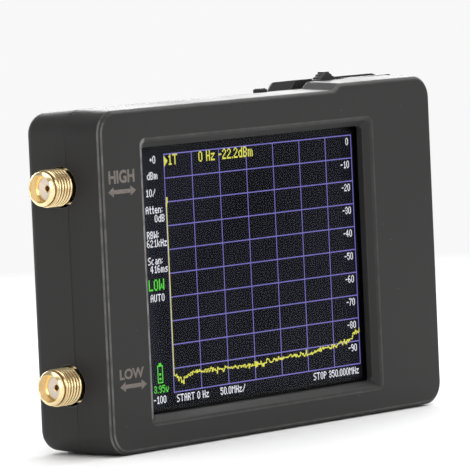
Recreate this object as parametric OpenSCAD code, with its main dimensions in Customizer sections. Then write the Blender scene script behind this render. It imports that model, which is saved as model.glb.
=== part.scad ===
// Pocket two-port spectrum analyzer, standing on its long bottom edge.
// X runs to the right as seen from the front, the screen faces -Y, +Z is up.
// The origin is the middle of the bottom face. Millimetres.

/* [Case walls] */
// Thickness of the side walls
wall = 2.0; // [1.7:0.1:2.4]
// Thickness of the front wall around the window
front_wall = 2.2; // [1.8:0.1:2.8]
// Thickness of the back wall
back_wall = 1.8; // [1.7:0.1:2.4]
// Radius of the four corners seen from the front
corner_r = 4.2; // [3.6:0.1:5]
// Rounding of the front edges
front_edge_r = 0.7; // [0.3:0.1:1]
// Rounding of the back edges
back_edge_r = 2.0; // [1:0.1:2.6]
// How far the front shell draws in towards the front
front_draft = 0.3; // [0.1:0.05:0.5]
// How far the back shell draws in towards the back
back_draft = 0.5; // [0.1:0.1:0.8]
// Width of the small chamfers that mark the seam
seam_chamfer = 0.15; // [0.05:0.05:0.3]
// Distance from the seam back to the board
seam_to_board = 0.8; // [0.7:0.1:1.2]
// Height of the tongue that locks the two shells
tongue_h = 1.0; // [0.6:0.1:1.4]
// Thickness of the tongue
tongue_t = 0.8; // [0.6:0.1:1]

/* [Case room] */
// Room between the left wall and the display module
left_room = 4.35; // [4.35:0.1:8]
// Room between the display module and the right wall
right_room = 13.75; // [8:0.25:24]
// Room above the display module
top_room = 3.0; // [3:0.1:6]
// Room below the display module
bottom_room = 1.4; // [1.4:0.1:4]

/* [Raised step of the top face] */
// Rise of the step above the top face
step_rise = 1.1; // [0.6:0.1:1.6]
// Run of the slope at its left end
step_run = 1.6; // [1:0.1:3]
// Reach of the step from the right side of the case
step_reach = 27.75; // [25.5:0.25:29]
// How far the back shell stands above the front shell on the step
step_lip = 0.55; // [0.1:0.05:0.8]
// How far the slope of the back shell lies to the right of that of the front shell
step_stagger = 0.4; // [0:0.1:1]

/* [Window] */
// Width of the window opening
window_w = 60.15; // [58.2:0.05:61]
// Height of the window opening
window_h = 45.3; // [44:0.1:46.5]
// Width and depth of the bevel around the window
window_bevel = 1.3; // [0.6:0.1:1.6]
// Border of the opening to the right of the picture
window_right = 0.15; // [0.1:0.05:0.5]
// Border of the opening below the picture
window_below = 0.8; // [0.3:0.1:1.2]

/* [Display module] */
// Width of the lit picture
picture_w = 57.6; // [56:0.1:58]
// Height of the lit picture
picture_h = 43.2; // [42:0.1:43.6]
// Border of the module on the flex side
border_left = 8.3; // [7:0.1:10]
// Border of the module opposite the flex
border_right = 3.3; // [2.5:0.1:5]
// Border of the module above and below the picture
border_side = 3.4; // [3:0.1:4.5]
// Thickness of the foam gasket
gasket_t = 0.5; // [0.3:0.1:0.8]
// Width of the foam gasket all round the window
gasket_w = 1.6; // [1:0.1:1.6]
// Thickness of the touch panel
touch_t = 1.2; // [0.9:0.1:1.6]
// Thickness of the display glass
panel_t = 1.2; // [1:0.1:1.6]
// Thickness of the backlight
backlight_t = 2.2; // [2:0.1:2.8]
// Thickness of the foam tape behind the backlight
tape_t = 0.9; // [0.9:0.1:1.4]
// Width of one strip of the foam tape
tape_w = 6; // [4:0.5:8]
// Width of the flex
flex_w = 16; // [10:0.5:17]
// Thickness of the flex
flex_t = 0.2; // [0.1:0.05:0.3]
// Bend radius of the flex where it wraps the board edge
flex_r = 2.0; // [1.6:0.1:2.2]

/* [Board] */
// Thickness of the circuit board
board_t = 1.6; // [1.2:0.1:1.8]
// Gap between the board and the case walls
board_gap = 0.35; // [0.2:0.05:0.5]
// Height of the radio shields
shield_h = 2.2; // [1.8:0.1:2.6]
// Thickness of the shield metal
shield_t = 0.2; // [0.15:0.05:0.3]
// Width of one radio shield
shield_w = 26; // [16:0.5:27]
// Length of one radio shield
shield_l = 20; // [14:0.5:20.5]
// Width of the microcontroller
mcu_w = 7; // [5:0.5:7.5]
// Width of one coil
coil_w = 3; // [2:0.1:3.2]

/* [Coaxial ports] */
// Outer radius of the thread
thread_r = 3.175; // [2.9:0.025:3.3]
// Pitch of the thread
thread_pitch = 0.7056; // [0.6:0.0001:0.8]
// Depth of the thread
thread_depth = 0.38; // [0.2:0.02:0.45]
// How far the jack stands out of the case
jack_reach = 5.15; // [4.5:0.05:7]
// Length of the plain nose in front of the thread
nose_l = 0.7; // [0.4:0.1:1]
// Radius of the plain nose
nose_r = 2.94; // [2.7:0.02:3.1]
// Radius of the mouth bore
mouth_r = 2.3; // [2.25:0.01:2.35]
// Depth of the mouth bore
mouth_depth = 1.95; // [1.5:0.05:2.5]
// Radius of the white insulator
insulator_r = 2.05; // [1.9:0.01:2.1]
// Radius of the centre socket
socket_r = 0.63; // [0.6:0.01:0.7]
// Radius of the bore of the centre socket
socket_bore_r = 0.48; // [0.45:0.01:0.5]
// Radius of the clearance hole in the case
port_hole_r = 3.5; // [3.4:0.1:4]
// Height of the lower port above the bottom face
lower_port_z = 12.05; // [11.5:0.05:13]
// Spacing of the two ports
port_pitch = 33.5; // [32.5:0.1:34]

/* [Charging socket] */
// Distance from the right side of the case to the middle of the socket
usb_from_right = 52.15; // [51:0.25:54]
// Width of the metal shell
usb_w = 8.94; // [8.8:0.02:9.1]
// Height of the metal shell
usb_h = 3.16; // [3:0.02:3.26]
// Length of the metal shell
usb_l = 7.0; // [6.5:0.1:7.4]
// How far the mouth lies below the top face
usb_sink = 0.5; // [0.2:0.1:1]
// Thickness of the metal shell
usb_t = 0.3; // [0.2:0.05:0.35]

/* [Power switch] */
// Distance from the right side of the case to the middle of the switch
switch_from_right = 36.25; // [35:0.25:38]
// Width of the slider knob
knob_w = 2.0; // [1.5:0.1:2.6]
// Thickness of the slider knob
knob_t = 1.6; // [1.4:0.1:1.7]
// How far the knob stands above the top face
knob_rise = 0.65; // [0.3:0.05:1.5]
// Travel of the slider
knob_travel = 2.0; // [1:0.1:2.4]
// Width of the switch housing
switch_w = 8.6; // [8.6:0.1:10]
// Thickness of the switch housing
switch_t = 2.6; // [2.6:0.1:2.8]
// Height of the switch housing
switch_h = 3.6; // [3.2:0.1:4]

/* [Jog lever] */
// Distance from the right side of the case to the middle of the lever
jog_from_right = 19.3; // [17:0.05:20]
// Thickness of the lever
lever_t = 1.9; // [1.5:0.1:2]
// Height of the tip of the lever above the raised step
lever_rise = 1.5; // [0.8:0.1:2.5]
// Half width of the tip of the lever
tip_half = 0.35; // [0.25:0.05:1]
// Half width of the wings of the lever
wing_half = 3.1; // [2.6:0.1:3.6]
// Height of the pivot pin below the raised step
pivot_drop = 5.4; // [5.2:0.1:5.6]
// Radius of the pivot pin
pivot_r = 0.4; // [0.3:0.02:0.45]
// Radial clearance of the pivot
pivot_gap = 0.03; // [0.01:0.01:0.06]
// Travel of the lever when pressed
press_travel = 0.4; // [0.2:0.05:0.5]
// Width of the jog frame
jog_w = 7.8; // [7.4:0.1:9]
// Thickness of the jog frame
jog_t = 3.0; // [2.9:0.05:3.1]
// Wall of the jog frame
jog_wall = 0.35; // [0.25:0.05:0.4]

/* [Battery] */
// Width of the cell
cell_w = 40; // [30:0.5:40.5]
// Height of the cell
cell_h = 30; // [20:0.5:31]
// Thickness of the cell
cell_t = 4.6; // [3.5:0.1:5.5]
// Thickness of the foam pad under the cell
pad_t = 0.5; // [0.3:0.1:0.8]
// Room between the cell and the back wall
cell_gap = 0.4; // [0.3:0.1:1]
// Radius of a battery lead
lead_r = 0.5; // [0.35:0.05:0.6]
// Spacing of the two leads
lead_pitch = 1.5; // [1.3:0.1:2]

/* [Screws] */
// Radius of the screw shank
screw_r = 1.0; // [0.8:0.05:1.05]
// Length of the shank
screw_l = 10; // [8:0.5:11]
// Radius of the screw head
head_r = 1.75; // [1.6:0.05:1.8]
// Height of the screw head
head_h = 1.2; // [0.9:0.1:1.3]
// How far the head lies below the back face
head_sink = 0.4; // [0.2:0.05:0.4]
// Size of the corner posts that the screws hold
post_w = 4.0; // [3.8:0.05:4.2]

/* [Hidden] */
$fn = 64;

// General clearances
touch = 0.02;     // between pieces that sit on each other round a shaft or pin
slip = 0.15;      // round pieces that drop into place
free = 0.3;       // round pieces that move
flat_share = 0.03; // share of an edge rounding that its flat face cuts off
embed = 0.3;      // how far a rib or post reaches into the wall that carries it

// Depth stack from the front face to the back face
case_d = front_wall + gasket_t + touch_t + panel_t + backlight_t + tape_t
    + board_t + pad_t + cell_t + cell_gap + back_wall;
face_y = -case_d / 2;
gasket_y = face_y + front_wall;
touch_y = gasket_y + gasket_t;
panel_y = touch_y + touch_t;
backlight_y = panel_y + panel_t;
tape_y = backlight_y + backlight_t;
board_y = tape_y + tape_t;
board_back_y = board_y + board_t;
axis_y = board_y + board_t / 2;
back_y = case_d / 2;
back_inner_y = back_y - back_wall;
seam_y = board_y - seam_to_board;
front_d = seam_y - face_y;
back_d = back_y - seam_y;

// Display module and case outline. The module reaches past the window and its gasket.
gasket_edge = 0.4;
window_left = window_w - window_right - picture_w;
module_left = max(border_left, window_left + gasket_edge + gasket_w);
module_w = module_left + picture_w + border_right;
module_h = picture_h + 2 * border_side;
case_w = 2 * wall + left_room + module_w + right_room;
case_h = 2 * wall + bottom_room + module_h + top_room;
module_x = -case_w / 2 + wall + left_room;
module_z = wall + bottom_room;
picture_x = module_x + module_left;
picture_z = module_z + border_side;
window_x = picture_x + picture_w + window_right - window_w;
window_z = picture_z - window_below;
cavity_w = case_w - 2 * wall;
cavity_r = corner_r - wall;
cavity_top = case_h - wall;

// Raised step
step_x = case_w / 2 - step_reach;
front_top = case_h + step_rise;
back_top = front_top + step_lip;

// Posts and screws
post_x = cavity_w / 2 - slip - post_w / 2;
post_low_z = wall + slip + post_w / 2;
post_high_z = cavity_top - slip - post_w / 2;
post_spots = [for (x = [-post_x, post_x], z = [post_low_z, post_high_z]) [x, z]];
head_y = back_y - head_sink - head_h;

// Board edge, ports
board_x = cavity_w / 2 - board_gap;
board_low_z = wall + board_gap;
board_top_z = cavity_top - board_gap;
upper_port_z = lower_port_z + port_pitch;
case_left = -case_w / 2;
mouth_x = case_left - jack_reach;
flange_t = 1.7;
flange_w = 6.4;
flange_x = case_left + wall + slip;
flange_back_x = flange_x + flange_t;
leg_l = 3.4;
leg_t = 0.75;
leg_w = 1.0;
reference_x = mouth_x + mouth_depth;
tail_r = 0.4;
tail_l = 2.4;
port_zs = [lower_port_z, upper_port_z];

// Flex
flex_mid_z = module_z + module_h / 2;
flex_front_y = backlight_y + flex_t / 2;
flex_back_y = board_back_y + 1.6;
flex_bend_x = board_gap - cavity_w / 2 + flex_r + flex_t / 2;
flex_notch_x = flex_bend_x - flex_r + 0.8;
flex_end_x = module_x + 1.0;
connector_x = module_x + 2.6;
connector_w = 4;
connector_t = flex_back_y + flex_t / 2 - board_back_y + 0.6;
connector_l = flex_w + 3;

// Charging socket
usb_x = case_w / 2 - usb_from_right;
usb_top_z = case_h - usb_sink;
usb_low_z = usb_top_z - usb_l;
usb_r = usb_h / 2 - 0.3;
tongue_low_z = usb_low_z + 1.2;
usb_tongue_w = usb_w - 2.3;
usb_tongue_t = 0.7;
usb_tongue_top = usb_top_z - 0.6;
usb_pads = 12;
usb_pad_pitch = 0.5;

// Power switch
switch_x = case_w / 2 - switch_from_right;
knob_x = switch_x - knob_travel / 2;
knob_top_z = case_h + knob_rise;
switch_top_z = board_top_z - 0.1;
switch_low_z = switch_top_z - switch_h;
switch_wall = 0.3;
carriage_w = switch_w - 2 * switch_wall - knob_travel - 2 * free;
carriage_h = 1.6;
carriage_z = switch_top_z - switch_wall - slip - carriage_h;
wiper_h = carriage_z - switch_low_z - switch_wall - free;
wiper_w = carriage_w - 0.8;

// Jog lever
jog_x = case_w / 2 - jog_from_right;
pivot_z = front_top - pivot_drop;
tip_z = front_top + lever_rise;
jog_top_z = board_top_z - 0.1;
jog_low_z = pivot_z - 3.4;
jog_floor_z = jog_low_z + jog_wall;
plunger_w = jog_w - 2 * jog_wall - 2 * slip;
plunger_t = jog_t - 2 * jog_wall - 2 * slip;
plunger_low_z = pivot_z - 1.5;
plunger_top_z = pivot_z + 0.7;
foot_t = 1.0;
foot_half = 0.9;
dome_h = 0.35;
dome_half = 2.0;
nib_r = 0.6;
nib_low_z = jog_floor_z + dome_h + press_travel + 0.1;
slot_back_y = axis_y + lever_t / 2 + free;
slot_right_x = jog_x + wing_half + 2.0;
slot_left_x = step_x - 0.5;

// Shields, battery and the other parts of the board
shield_x = connector_x + connector_w + 2.1;
shield_low_z = board_low_z + 3;
shield_gap_z = 3;
shield_zs = [shield_low_z, shield_low_z + shield_l + shield_gap_z];
cell_x = shield_x + shield_w + 2.5;
cell_z = board_low_z + 4;
cell_y = board_back_y + pad_t;
header_w = 4.4;
header_l = 5.2;
header_t = 3.0;
header_x = cell_x + cell_w - 19;
header_z = cell_z + cell_h + 3;
lead_y = board_back_y + header_t / 2;
lead_z = header_z + header_l / 2 - lead_pitch / 2;
lead_bend = 2;
plug_w = 3.4;
plug_x = header_x + header_w - 2.2;
plug_t = header_t - 1.0;
lead_x = plug_x + plug_w + 8;
mcu_x = cell_x + mcu_w * 1.5;
mcu_z = header_z + header_l / 2;
coil_x = board_x - coil_w - 1;
coil_z = board_top_z - 10;

// Colours
shell_colour = "#3e3e40";
gold = "#d9b23c";
steel = "#c3c4c7";
board_green = "#1c5a34";
chip_black = "#1c1c1e";

// Extrudes an X-Z outline from y0 to y1
module slab(y0, y1) {
    translate([0, y1, 0]) rotate([90, 0, 0]) linear_extrude(y1 - y0) children();
}

// Extrudes an X-Y outline from z0 to z1
module layer(z0, z1) {
    translate([0, 0, z0]) linear_extrude(z1 - z0) children();
}

// Extrudes a Y-Z outline from x0 to x1
module bar(x0, x1) {
    translate([x0, 0, 0]) rotate([90, 0, 90]) linear_extrude(x1 - x0) children();
}

module rod_x(x0, x1, y, z, r) {
    translate([x0, y, z]) rotate([0, 90, 0]) cylinder(r = r, h = x1 - x0);
}

module rod_y(y0, y1, x, z, r) {
    translate([x, y0, z]) rotate([-90, 0, 0]) cylinder(r = r, h = y1 - y0);
}

module box(x0, x1, y0, y1, z0, z1) {
    translate([x0, y0, z0]) cube([x1 - x0, y1 - y0, z1 - z0]);
}

module rect(x0, x1, z0, z1) {
    translate([x0, z0]) square([x1 - x0, z1 - z0]);
}

// Rectangle with four round corners
module round_rect(x0, x1, z0, z1, r) {
    rect(x0 + r, x1 - r, z0, z1);
    rect(x0, x1, z0 + r, z1 - r);
    for (x = [x0 + r, x1 - r], z = [z0 + r, z1 - r]) translate([x, z]) circle(r);
}

module cavity_outline(grow = 0) {
    round_rect(-cavity_w / 2 - grow, cavity_w / 2 + grow, wall - grow,
        cavity_top + grow, cavity_r + grow);
}

// Section of an outer edge: distance outwards against depth from the seam
module edge_section(draft, r, depth) {
    crown = r * (1 - flat_share);
    polygon([[0, 0], [corner_r - seam_chamfer, 0], [corner_r, seam_chamfer],
        [corner_r - draft, depth - crown], [corner_r - draft - r, depth - crown],
        [corner_r - draft - r, depth], [0, depth]]);
    translate([corner_r - draft - r, depth - crown]) intersection() {
        circle(r);
        square([r, crown]);
    }
}

// Solid block of height h with that section all round, made of abutting pieces
module edged_block(h, draft, r, depth) {
    translate([0, h / 2, 0]) {
        translate([corner_r - case_w / 2, corner_r - h / 2, 0])
            cube([case_w - 2 * corner_r, h - 2 * corner_r, depth]);
        for (k = [0 : 3]) {
            run = k % 2 == 0 ? h : case_w;
            reach = k % 2 == 0 ? case_w : h;
            rotate(90 * k) translate([reach / 2 - corner_r, run / 2 - corner_r, 0]) {
                rotate_extrude(angle = 90) edge_section(draft, r, depth);
                rotate([90, 0, 0]) linear_extrude(run - 2 * corner_r)
                    edge_section(draft, r, depth);
            }
        }
    }
}

// Block that rises to the right of x0 along a slope, with that section along the slope
module ramp_block(x0, high, draft, r, depth) {
    far = 2 * case_w;
    translate([x0, case_h, 0]) rotate(atan2(high - case_h, step_run)) rotate([90, 0, 90])
        translate([-corner_r, 0, -far]) linear_extrude(2 * far) {
            edge_section(draft, r, depth);
            translate([-far, 0]) square([far, depth]);
        }
}

// Outer form of a shell: low on the left, raised on the right of the slope at x0
module stepped_block(x0, high, draft, r, depth) {
    x1 = x0 + 3 * step_run;
    intersection() {
        edged_block(case_h, draft, r, depth);
        translate([x1 - 2 * case_w, -1, -1]) cube([2 * case_w, 2 * case_h, depth + 2]);
    }
    intersection() {
        edged_block(high, draft, r, depth);
        translate([x1, -1, -1]) cube([case_w, 2 * case_h, depth + 2]);
    }
    intersection() {
        edged_block(high, draft, r, depth);
        translate([x1 - case_w / 4, case_h - corner_r, -1])
            cube([case_w / 4, 2 * corner_r, depth + 2]);
        ramp_block(x0, high, draft, r, depth);
    }
}

module front_block() {
    translate([0, seam_y, 0]) rotate([90, 0, 0])
        stepped_block(step_x, front_top, front_draft, front_edge_r, front_d);
}

module back_block() {
    translate([0, seam_y, 0]) rotate([90, 0, 0]) mirror([0, 0, 1])
        stepped_block(step_x + step_stagger, back_top, back_draft, back_edge_r, back_d);
}

// Footprints of the four corner posts
module post_footprints() {
    intersection() {
        cavity_outline(-slip);
        for (spot = post_spots) translate(spot) square(post_w, center = true);
    }
}

// Window opening with its bevel, which is mitred at the corners
module window_cut() {
    x1 = window_x + window_w;
    z1 = window_z + window_h;
    b = window_bevel;
    slab(face_y - 1, gasket_y + 1) rect(window_x, x1, window_z, z1);
    intersection() {
        layer(window_z - 2 * b, z1 + 2 * b) polygon([
            [window_x - 2 * b, face_y - b], [x1 + 2 * b, face_y - b],
            [x1, face_y + b], [window_x, face_y + b]]);
        bar(window_x - 2 * b, x1 + 2 * b) polygon([
            [face_y - b, window_z - 2 * b], [face_y - b, z1 + 2 * b],
            [face_y + b, z1], [face_y + b, window_z]]);
    }
}

module port_holes() {
    for (z = port_zs)
        rod_x(case_left - 1, case_left + wall + 1, axis_y, z, port_hole_r);
}

// Ring in the walls that holds the tongue, less the stretch with the top controls
module tongue_ring(y0, y1, grow) {
    slab(y0, y1) difference() {
        cavity_outline(grow);
        cavity_outline(0);
        rect(usb_x - usb_w / 2 - 1.5, slot_right_x + 1.5, cavity_top - 3, case_h + 3);
    }
}

// Ribs that keep the display module in place
module display_ribs() {
    rib_t = 1.0;
    end_y = backlight_y + 0.5;
    x1 = module_x + module_w;
    z1 = module_z + module_h;
    box(x1 + slip, x1 + slip + rib_t, gasket_y - embed, end_y, flex_mid_z - 15, flex_mid_z + 15);
    for (x = [module_x + 12, x1 - 20]) {
        box(x, x + 8, gasket_y - embed, end_y, z1 + slip, z1 + slip + rib_t);
        box(x, x + 8, gasket_y - embed, end_y, module_z - slip - rib_t, module_z - slip);
    }
}

module front_shell() {
    color(shell_colour) difference() {
        union() {
            difference() {
                front_block();
                slab(gasket_y, seam_y + 1) cavity_outline();
            }
            slab(gasket_y - embed, board_y) post_footprints();
            display_ribs();
        }
        window_cut();
        port_holes();
        tongue_ring(seam_y - tongue_h - slip, seam_y + 1, tongue_t + slip);
        for (spot = post_spots)
            rod_y(head_y - screw_l - 0.5, board_y + 1, spot[0], spot[1], screw_r + touch);
    }
}

module rear_shell() {
    color(shell_colour) difference() {
        union() {
            difference() {
                back_block();
                slab(seam_y - 1, back_inner_y) cavity_outline();
            }
            slab(board_back_y, back_inner_y + embed) post_footprints();
            tongue_ring(seam_y - tongue_h, seam_y, tongue_t);
        }
        port_holes();
        box(usb_x - usb_w / 2 - slip, usb_x + usb_w / 2 + slip, seam_y - 1,
            axis_y + usb_h / 2 + slip, cavity_top - 1, back_top + 1);
        box(knob_x - knob_w / 2 - free, knob_x + knob_w / 2 + knob_travel + free,
            seam_y - 1, axis_y + knob_t / 2 + free, cavity_top - 1, back_top + 1);
        box(slot_left_x, slot_right_x, seam_y - 1, slot_back_y, cavity_top - 1, back_top + 1);
        box(slot_left_x, case_w, seam_y - 1, slot_back_y, front_top, back_top + 1);
        for (spot = post_spots) {
            rod_y(board_back_y - 1, back_y, spot[0], spot[1], screw_r + 0.1);
            rod_y(head_y, back_y + 1, spot[0], spot[1], head_r + slip);
        }
    }
}

// Pan head screw with a cross recess, pointing forwards from its head
module case_screw() {
    cross = 0.45;
    difference() {
        union() {
            rod_y(-screw_l, 0, 0, 0, screw_r);
            rod_y(0, head_h, 0, 0, head_r);
        }
        for (turn = [0, 90]) rotate([0, turn, 0])
            box(-head_r * 0.65, head_r * 0.65, head_h * 0.45, head_h + 1, -cross / 2, cross / 2);
    }
}

module case_screws() {
    color("#2a2a2c") for (spot = post_spots)
        translate([spot[0], head_y, spot[1]]) case_screw();
}

// Outline of the display module
module module_rect() {
    rect(module_x, module_x + module_w, module_z, module_z + module_h);
}

// Rectangle that lies all round outside the window
module window_rect(grow) {
    rect(window_x - grow, window_x + window_w + grow,
        window_z - grow, window_z + window_h + grow);
}

module display_gasket() {
    color("#202022") slab(gasket_y, touch_y) difference() {
        window_rect(gasket_edge + gasket_w);
        window_rect(gasket_edge);
    }
}

module touch_panel() {
    color("#15161a") slab(touch_y, panel_y) module_rect();
}

module lcd_panel() {
    color("#22233a") slab(panel_y, backlight_y) module_rect();
}

// White tray with a thin steel back
module lcd_backlight() {
    color("#e8e8e4") difference() {
        slab(backlight_y, tape_y) module_rect();
        box(module_x - 1, flex_end_x + slip, backlight_y - 1, tape_y + 1,
            flex_mid_z - flex_w / 2 - 0.5, flex_mid_z + flex_w / 2 + 0.5);
    }
}

module display_tape() {
    inset = module_w / 8;
    color("#2c2c2e") for (z = [module_z + 2, usb_low_z - 0.5 - tape_w])
        slab(tape_y, board_y)
            rect(module_x + inset, module_x + module_w - inset, z, z + tape_w);
}

// Quarter turn of the flex: to the left, and to the front or the back of its centre
module flex_turn(y, side) {
    r = flex_r + flex_t / 2;
    translate([flex_bend_x, y]) intersection() {
        difference() {
            circle(r);
            circle(flex_r - flex_t / 2);
        }
        rect(-r, 0, min(0, side * r), max(0, side * r));
    }
}

// Flex that leaves the display glass, wraps the board edge and plugs in behind
module lcd_flex() {
    z0 = flex_mid_z - flex_w / 2;
    t = flex_t / 2;
    color("#b8772a") layer(z0, z0 + flex_w) {
        rect(flex_bend_x, flex_end_x, flex_front_y - t, flex_front_y + t);
        flex_turn(flex_front_y + flex_r, -1);
        rect(flex_bend_x - flex_r - t, flex_bend_x - flex_r + t,
            flex_front_y + flex_r, flex_back_y - flex_r);
        flex_turn(flex_back_y - flex_r, 1);
        rect(flex_bend_x, connector_x + 1.5, flex_back_y - t, flex_back_y + t);
    }
}

module flex_connector() {
    z0 = flex_mid_z - connector_l / 2;
    color("#d8d2c4") difference() {
        box(connector_x, connector_x + connector_w, board_back_y, board_back_y + connector_t,
            z0, z0 + connector_l);
        box(connector_x - 1, connector_x + 1.7, flex_back_y - flex_t / 2 - touch,
            flex_back_y + flex_t / 2 + touch, flex_mid_z - flex_w / 2 - touch,
            flex_mid_z + flex_w / 2 + touch);
    }
}

module main_board() {
    edge = slip;
    color(board_green) slab(board_y, board_back_y) difference() {
        round_rect(-board_x, board_x, board_low_z, board_top_z, 1.8);
        for (spot = post_spots) translate(spot) circle(screw_r + 0.1);
        for (z = port_zs) {
            rect(-board_x - 1, flange_back_x, z - flange_w / 2 - edge, z + flange_w / 2 + edge);
            rect(-board_x - 1, flange_back_x + tail_l + edge, z - tail_r - edge, z + tail_r + edge);
        }
        rect(-board_x - 1, flex_notch_x, flex_mid_z - flex_w / 2 - 1, flex_mid_z + flex_w / 2 + 1);
        rect(usb_x - usb_w / 2 - edge, usb_x + usb_w / 2 + edge, usb_low_z - edge, case_h);
        rect(switch_x - switch_w / 2 - edge, switch_x + switch_w / 2 + edge,
            switch_low_z - edge, case_h);
        rect(jog_x - jog_w / 2 - edge, jog_x + jog_w / 2 + edge, jog_low_z - edge, case_h);
    }
}

// Half outline of the jack: distance along the axis against radius. A cone leads up to the
// plain nose. The thread's last crest lies in front of the case, and a plain neck runs on to
// the flange.
function jack_outline() = let (
        mouth_rim = 0.12,
        cone_l = 0.7 * nose_l,
        thread_start = nose_l + 0.3,
        crest = [0.44, 0.56],
        thread_room = jack_reach - slip - thread_start,
        turns = floor(thread_room / thread_pitch + 1 - crest[1]),
        root = thread_r - thread_depth)
    concat([[0, mouth_r], [0, mouth_r + mouth_rim], [cone_l, nose_r], [nose_l, nose_r],
            [thread_start, root]],
        [for (i = [0 : turns - 1], p = [[0.08, 0], [crest[0], 1], [crest[1], 1], [0.92, 0]])
            [thread_start + (i + p[0]) * thread_pitch, root + p[1] * thread_depth]],
        [[flange_x - mouth_x + 0.2, root],
            [flange_x - mouth_x + 0.2, insulator_r + touch],
            [mouth_depth, insulator_r + touch], [mouth_depth, mouth_r]]);

module sma_body(z) {
    half = flange_w / 2;
    leg_z = half - leg_w;
    color(gold) {
        translate([mouth_x, axis_y, z]) rotate([0, 90, 0])
            rotate_extrude() polygon([for (p = jack_outline()) [p[1], p[0]]]);
        difference() {
            box(flange_x, flange_back_x, axis_y - half, axis_y + half, z - half, z + half);
            rod_x(flange_x - 1, flange_back_x + 1, axis_y, z, insulator_r + touch);
        }
        for (side = [-1, 1], y = [board_y - leg_t, board_back_y])
            box(flange_back_x - embed, flange_back_x + leg_l, y, y + leg_t,
                z + side * (half - leg_w / 2) - leg_w / 2, z + side * (half - leg_w / 2) + leg_w / 2);
    }
}

module sma_dielectric(z) {
    color("#f0ece6") difference() {
        rod_x(reference_x, flange_back_x, axis_y, z, insulator_r);
        rod_x(reference_x - 1, flange_back_x + 1, axis_y, z, socket_r + touch);
    }
}

module sma_contact(z) {
    bore_l = 3;
    color(gold) difference() {
        union() {
            rod_x(reference_x, flange_back_x, axis_y, z, socket_r);
            rod_x(flange_back_x - embed, flange_back_x + tail_l, axis_y, z, tail_r);
        }
        rod_x(reference_x - 1, reference_x + bore_l, axis_y, z, socket_bore_r);
    }
}

module upper_sma_body() { sma_body(upper_port_z); }
module upper_sma_dielectric() { sma_dielectric(upper_port_z); }
module upper_sma_contact() { sma_contact(upper_port_z); }
module lower_sma_body() { sma_body(lower_port_z); }
module lower_sma_dielectric() { sma_dielectric(lower_port_z); }
module lower_sma_contact() { sma_contact(lower_port_z); }

// Fence of a radio shield, soldered to the board
module shield_frames() {
    lip = 0.8;
    top_y = board_back_y + shield_h - shield_t - touch;
    inset = shield_t + touch;
    color("#9fa2a6") for (z = shield_zs) {
        slab(board_back_y, top_y) difference() {
            rect(shield_x + inset, shield_x + shield_w - inset, z + inset, z + shield_l - inset);
            rect(shield_x + inset + shield_t, shield_x + shield_w - inset - shield_t,
                z + inset + shield_t, z + shield_l - inset - shield_t);
        }
        slab(top_y - shield_t, top_y) difference() {
            rect(shield_x + inset, shield_x + shield_w - inset, z + inset, z + shield_l - inset);
            rect(shield_x + inset + lip, shield_x + shield_w - inset - lip,
                z + inset + lip, z + shield_l - inset - lip);
        }
    }
}

module shield_covers() {
    hole_r = 0.6;
    color(steel) for (z = shield_zs) difference() {
        slab(board_back_y + 0.4, board_back_y + shield_h)
            rect(shield_x, shield_x + shield_w, z, z + shield_l);
        slab(board_back_y - 1, board_back_y + shield_h - shield_t)
            rect(shield_x + shield_t, shield_x + shield_w - shield_t,
                z + shield_t, z + shield_l - shield_t);
        for (i = [1 : 4], j = [1 : 3])
            rod_y(board_back_y, board_back_y + shield_h + 1, shield_x + shield_w * i / 5,
                z + shield_l * j / 4, hole_r);
    }
}

// Chip that stands on the back of the board
module chip(x, z, w, l, t) {
    box(x - w / 2, x + w / 2, board_back_y, board_back_y + t, z - l / 2, z + l / 2);
}

module radio_chips() {
    color(chip_black) for (z = shield_zs) {
        chip(shield_x + shield_w * 0.27, z + shield_l * 0.5, 4, 4, 0.9);
        chip(shield_x + shield_w * 0.55, z + shield_l * 0.7, 3, 3, 0.9);
        chip(shield_x + shield_w * 0.55, z + shield_l * 0.3, 3, 3, 0.9);
        chip(shield_x + shield_w * 0.8, z + shield_l * 0.5, 3.8, 3.8, 1.3);
    }
}

// Square package with leads on all four sides
module microcontroller() {
    pins = 12;
    pin_pitch = mcu_w / 14;
    pin_half = pin_pitch * 0.22;
    reach = mcu_w / 2 + 1;
    color(chip_black) {
        chip(mcu_x, mcu_z, mcu_w, mcu_w, 1.4);
        for (turn = [0 : 3], i = [0 : pins - 1])
            translate([mcu_x, 0, mcu_z]) rotate([0, 90 * turn, 0])
                translate([0, 0, (i - (pins - 1) / 2) * pin_pitch])
                    box(mcu_w / 2 - embed, reach, board_back_y, board_back_y + 0.3,
                        -pin_half, pin_half);
    }
}

module crystals() {
    color("#b9babd") {
        for (z = shield_zs) chip(shield_x + shield_w * 0.27, z + shield_l * 0.82, 3.2, 2.5, 0.8);
        chip(mcu_x - mcu_w / 2 - 4, mcu_z, 2.5, 3.2, 0.8);
    }
}

module power_chips() {
    side = 3;
    color(chip_black) {
        chip(shield_x + shield_w + 0.7 + side / 2, usb_low_z - side, side, side, 1.1);
        chip(coil_x - coil_w, coil_z + coil_w + 1, side, 1.7, 1.1);
    }
}

module coils() {
    color("#5c5c60") for (z = [coil_z, coil_z - coil_w * 1.5])
        chip(coil_x, z, coil_w, coil_w, coil_w / 2);
}

// Small capacitors and resistors in rows
module board_passives() {
    row_x = header_x + header_w + 4;
    row_w = coil_x - coil_w - row_x;
    color("#a08a68") {
        for (z = shield_zs, i = [0 : 6])
            chip(shield_x + 3 + i * (shield_w - 6) / 6, z + 2, 1.0, 0.5, 0.5);
        for (i = [0 : 5]) {
            chip(row_x + row_w * i / 5, header_z - 1.4, 1.0, 0.5, 0.5);
            chip(mcu_x - mcu_w / 2 + i * mcu_w / 5, mcu_z + mcu_w / 2 + 2.2, 0.5, 1.0, 0.5);
        }
    }
}

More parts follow.
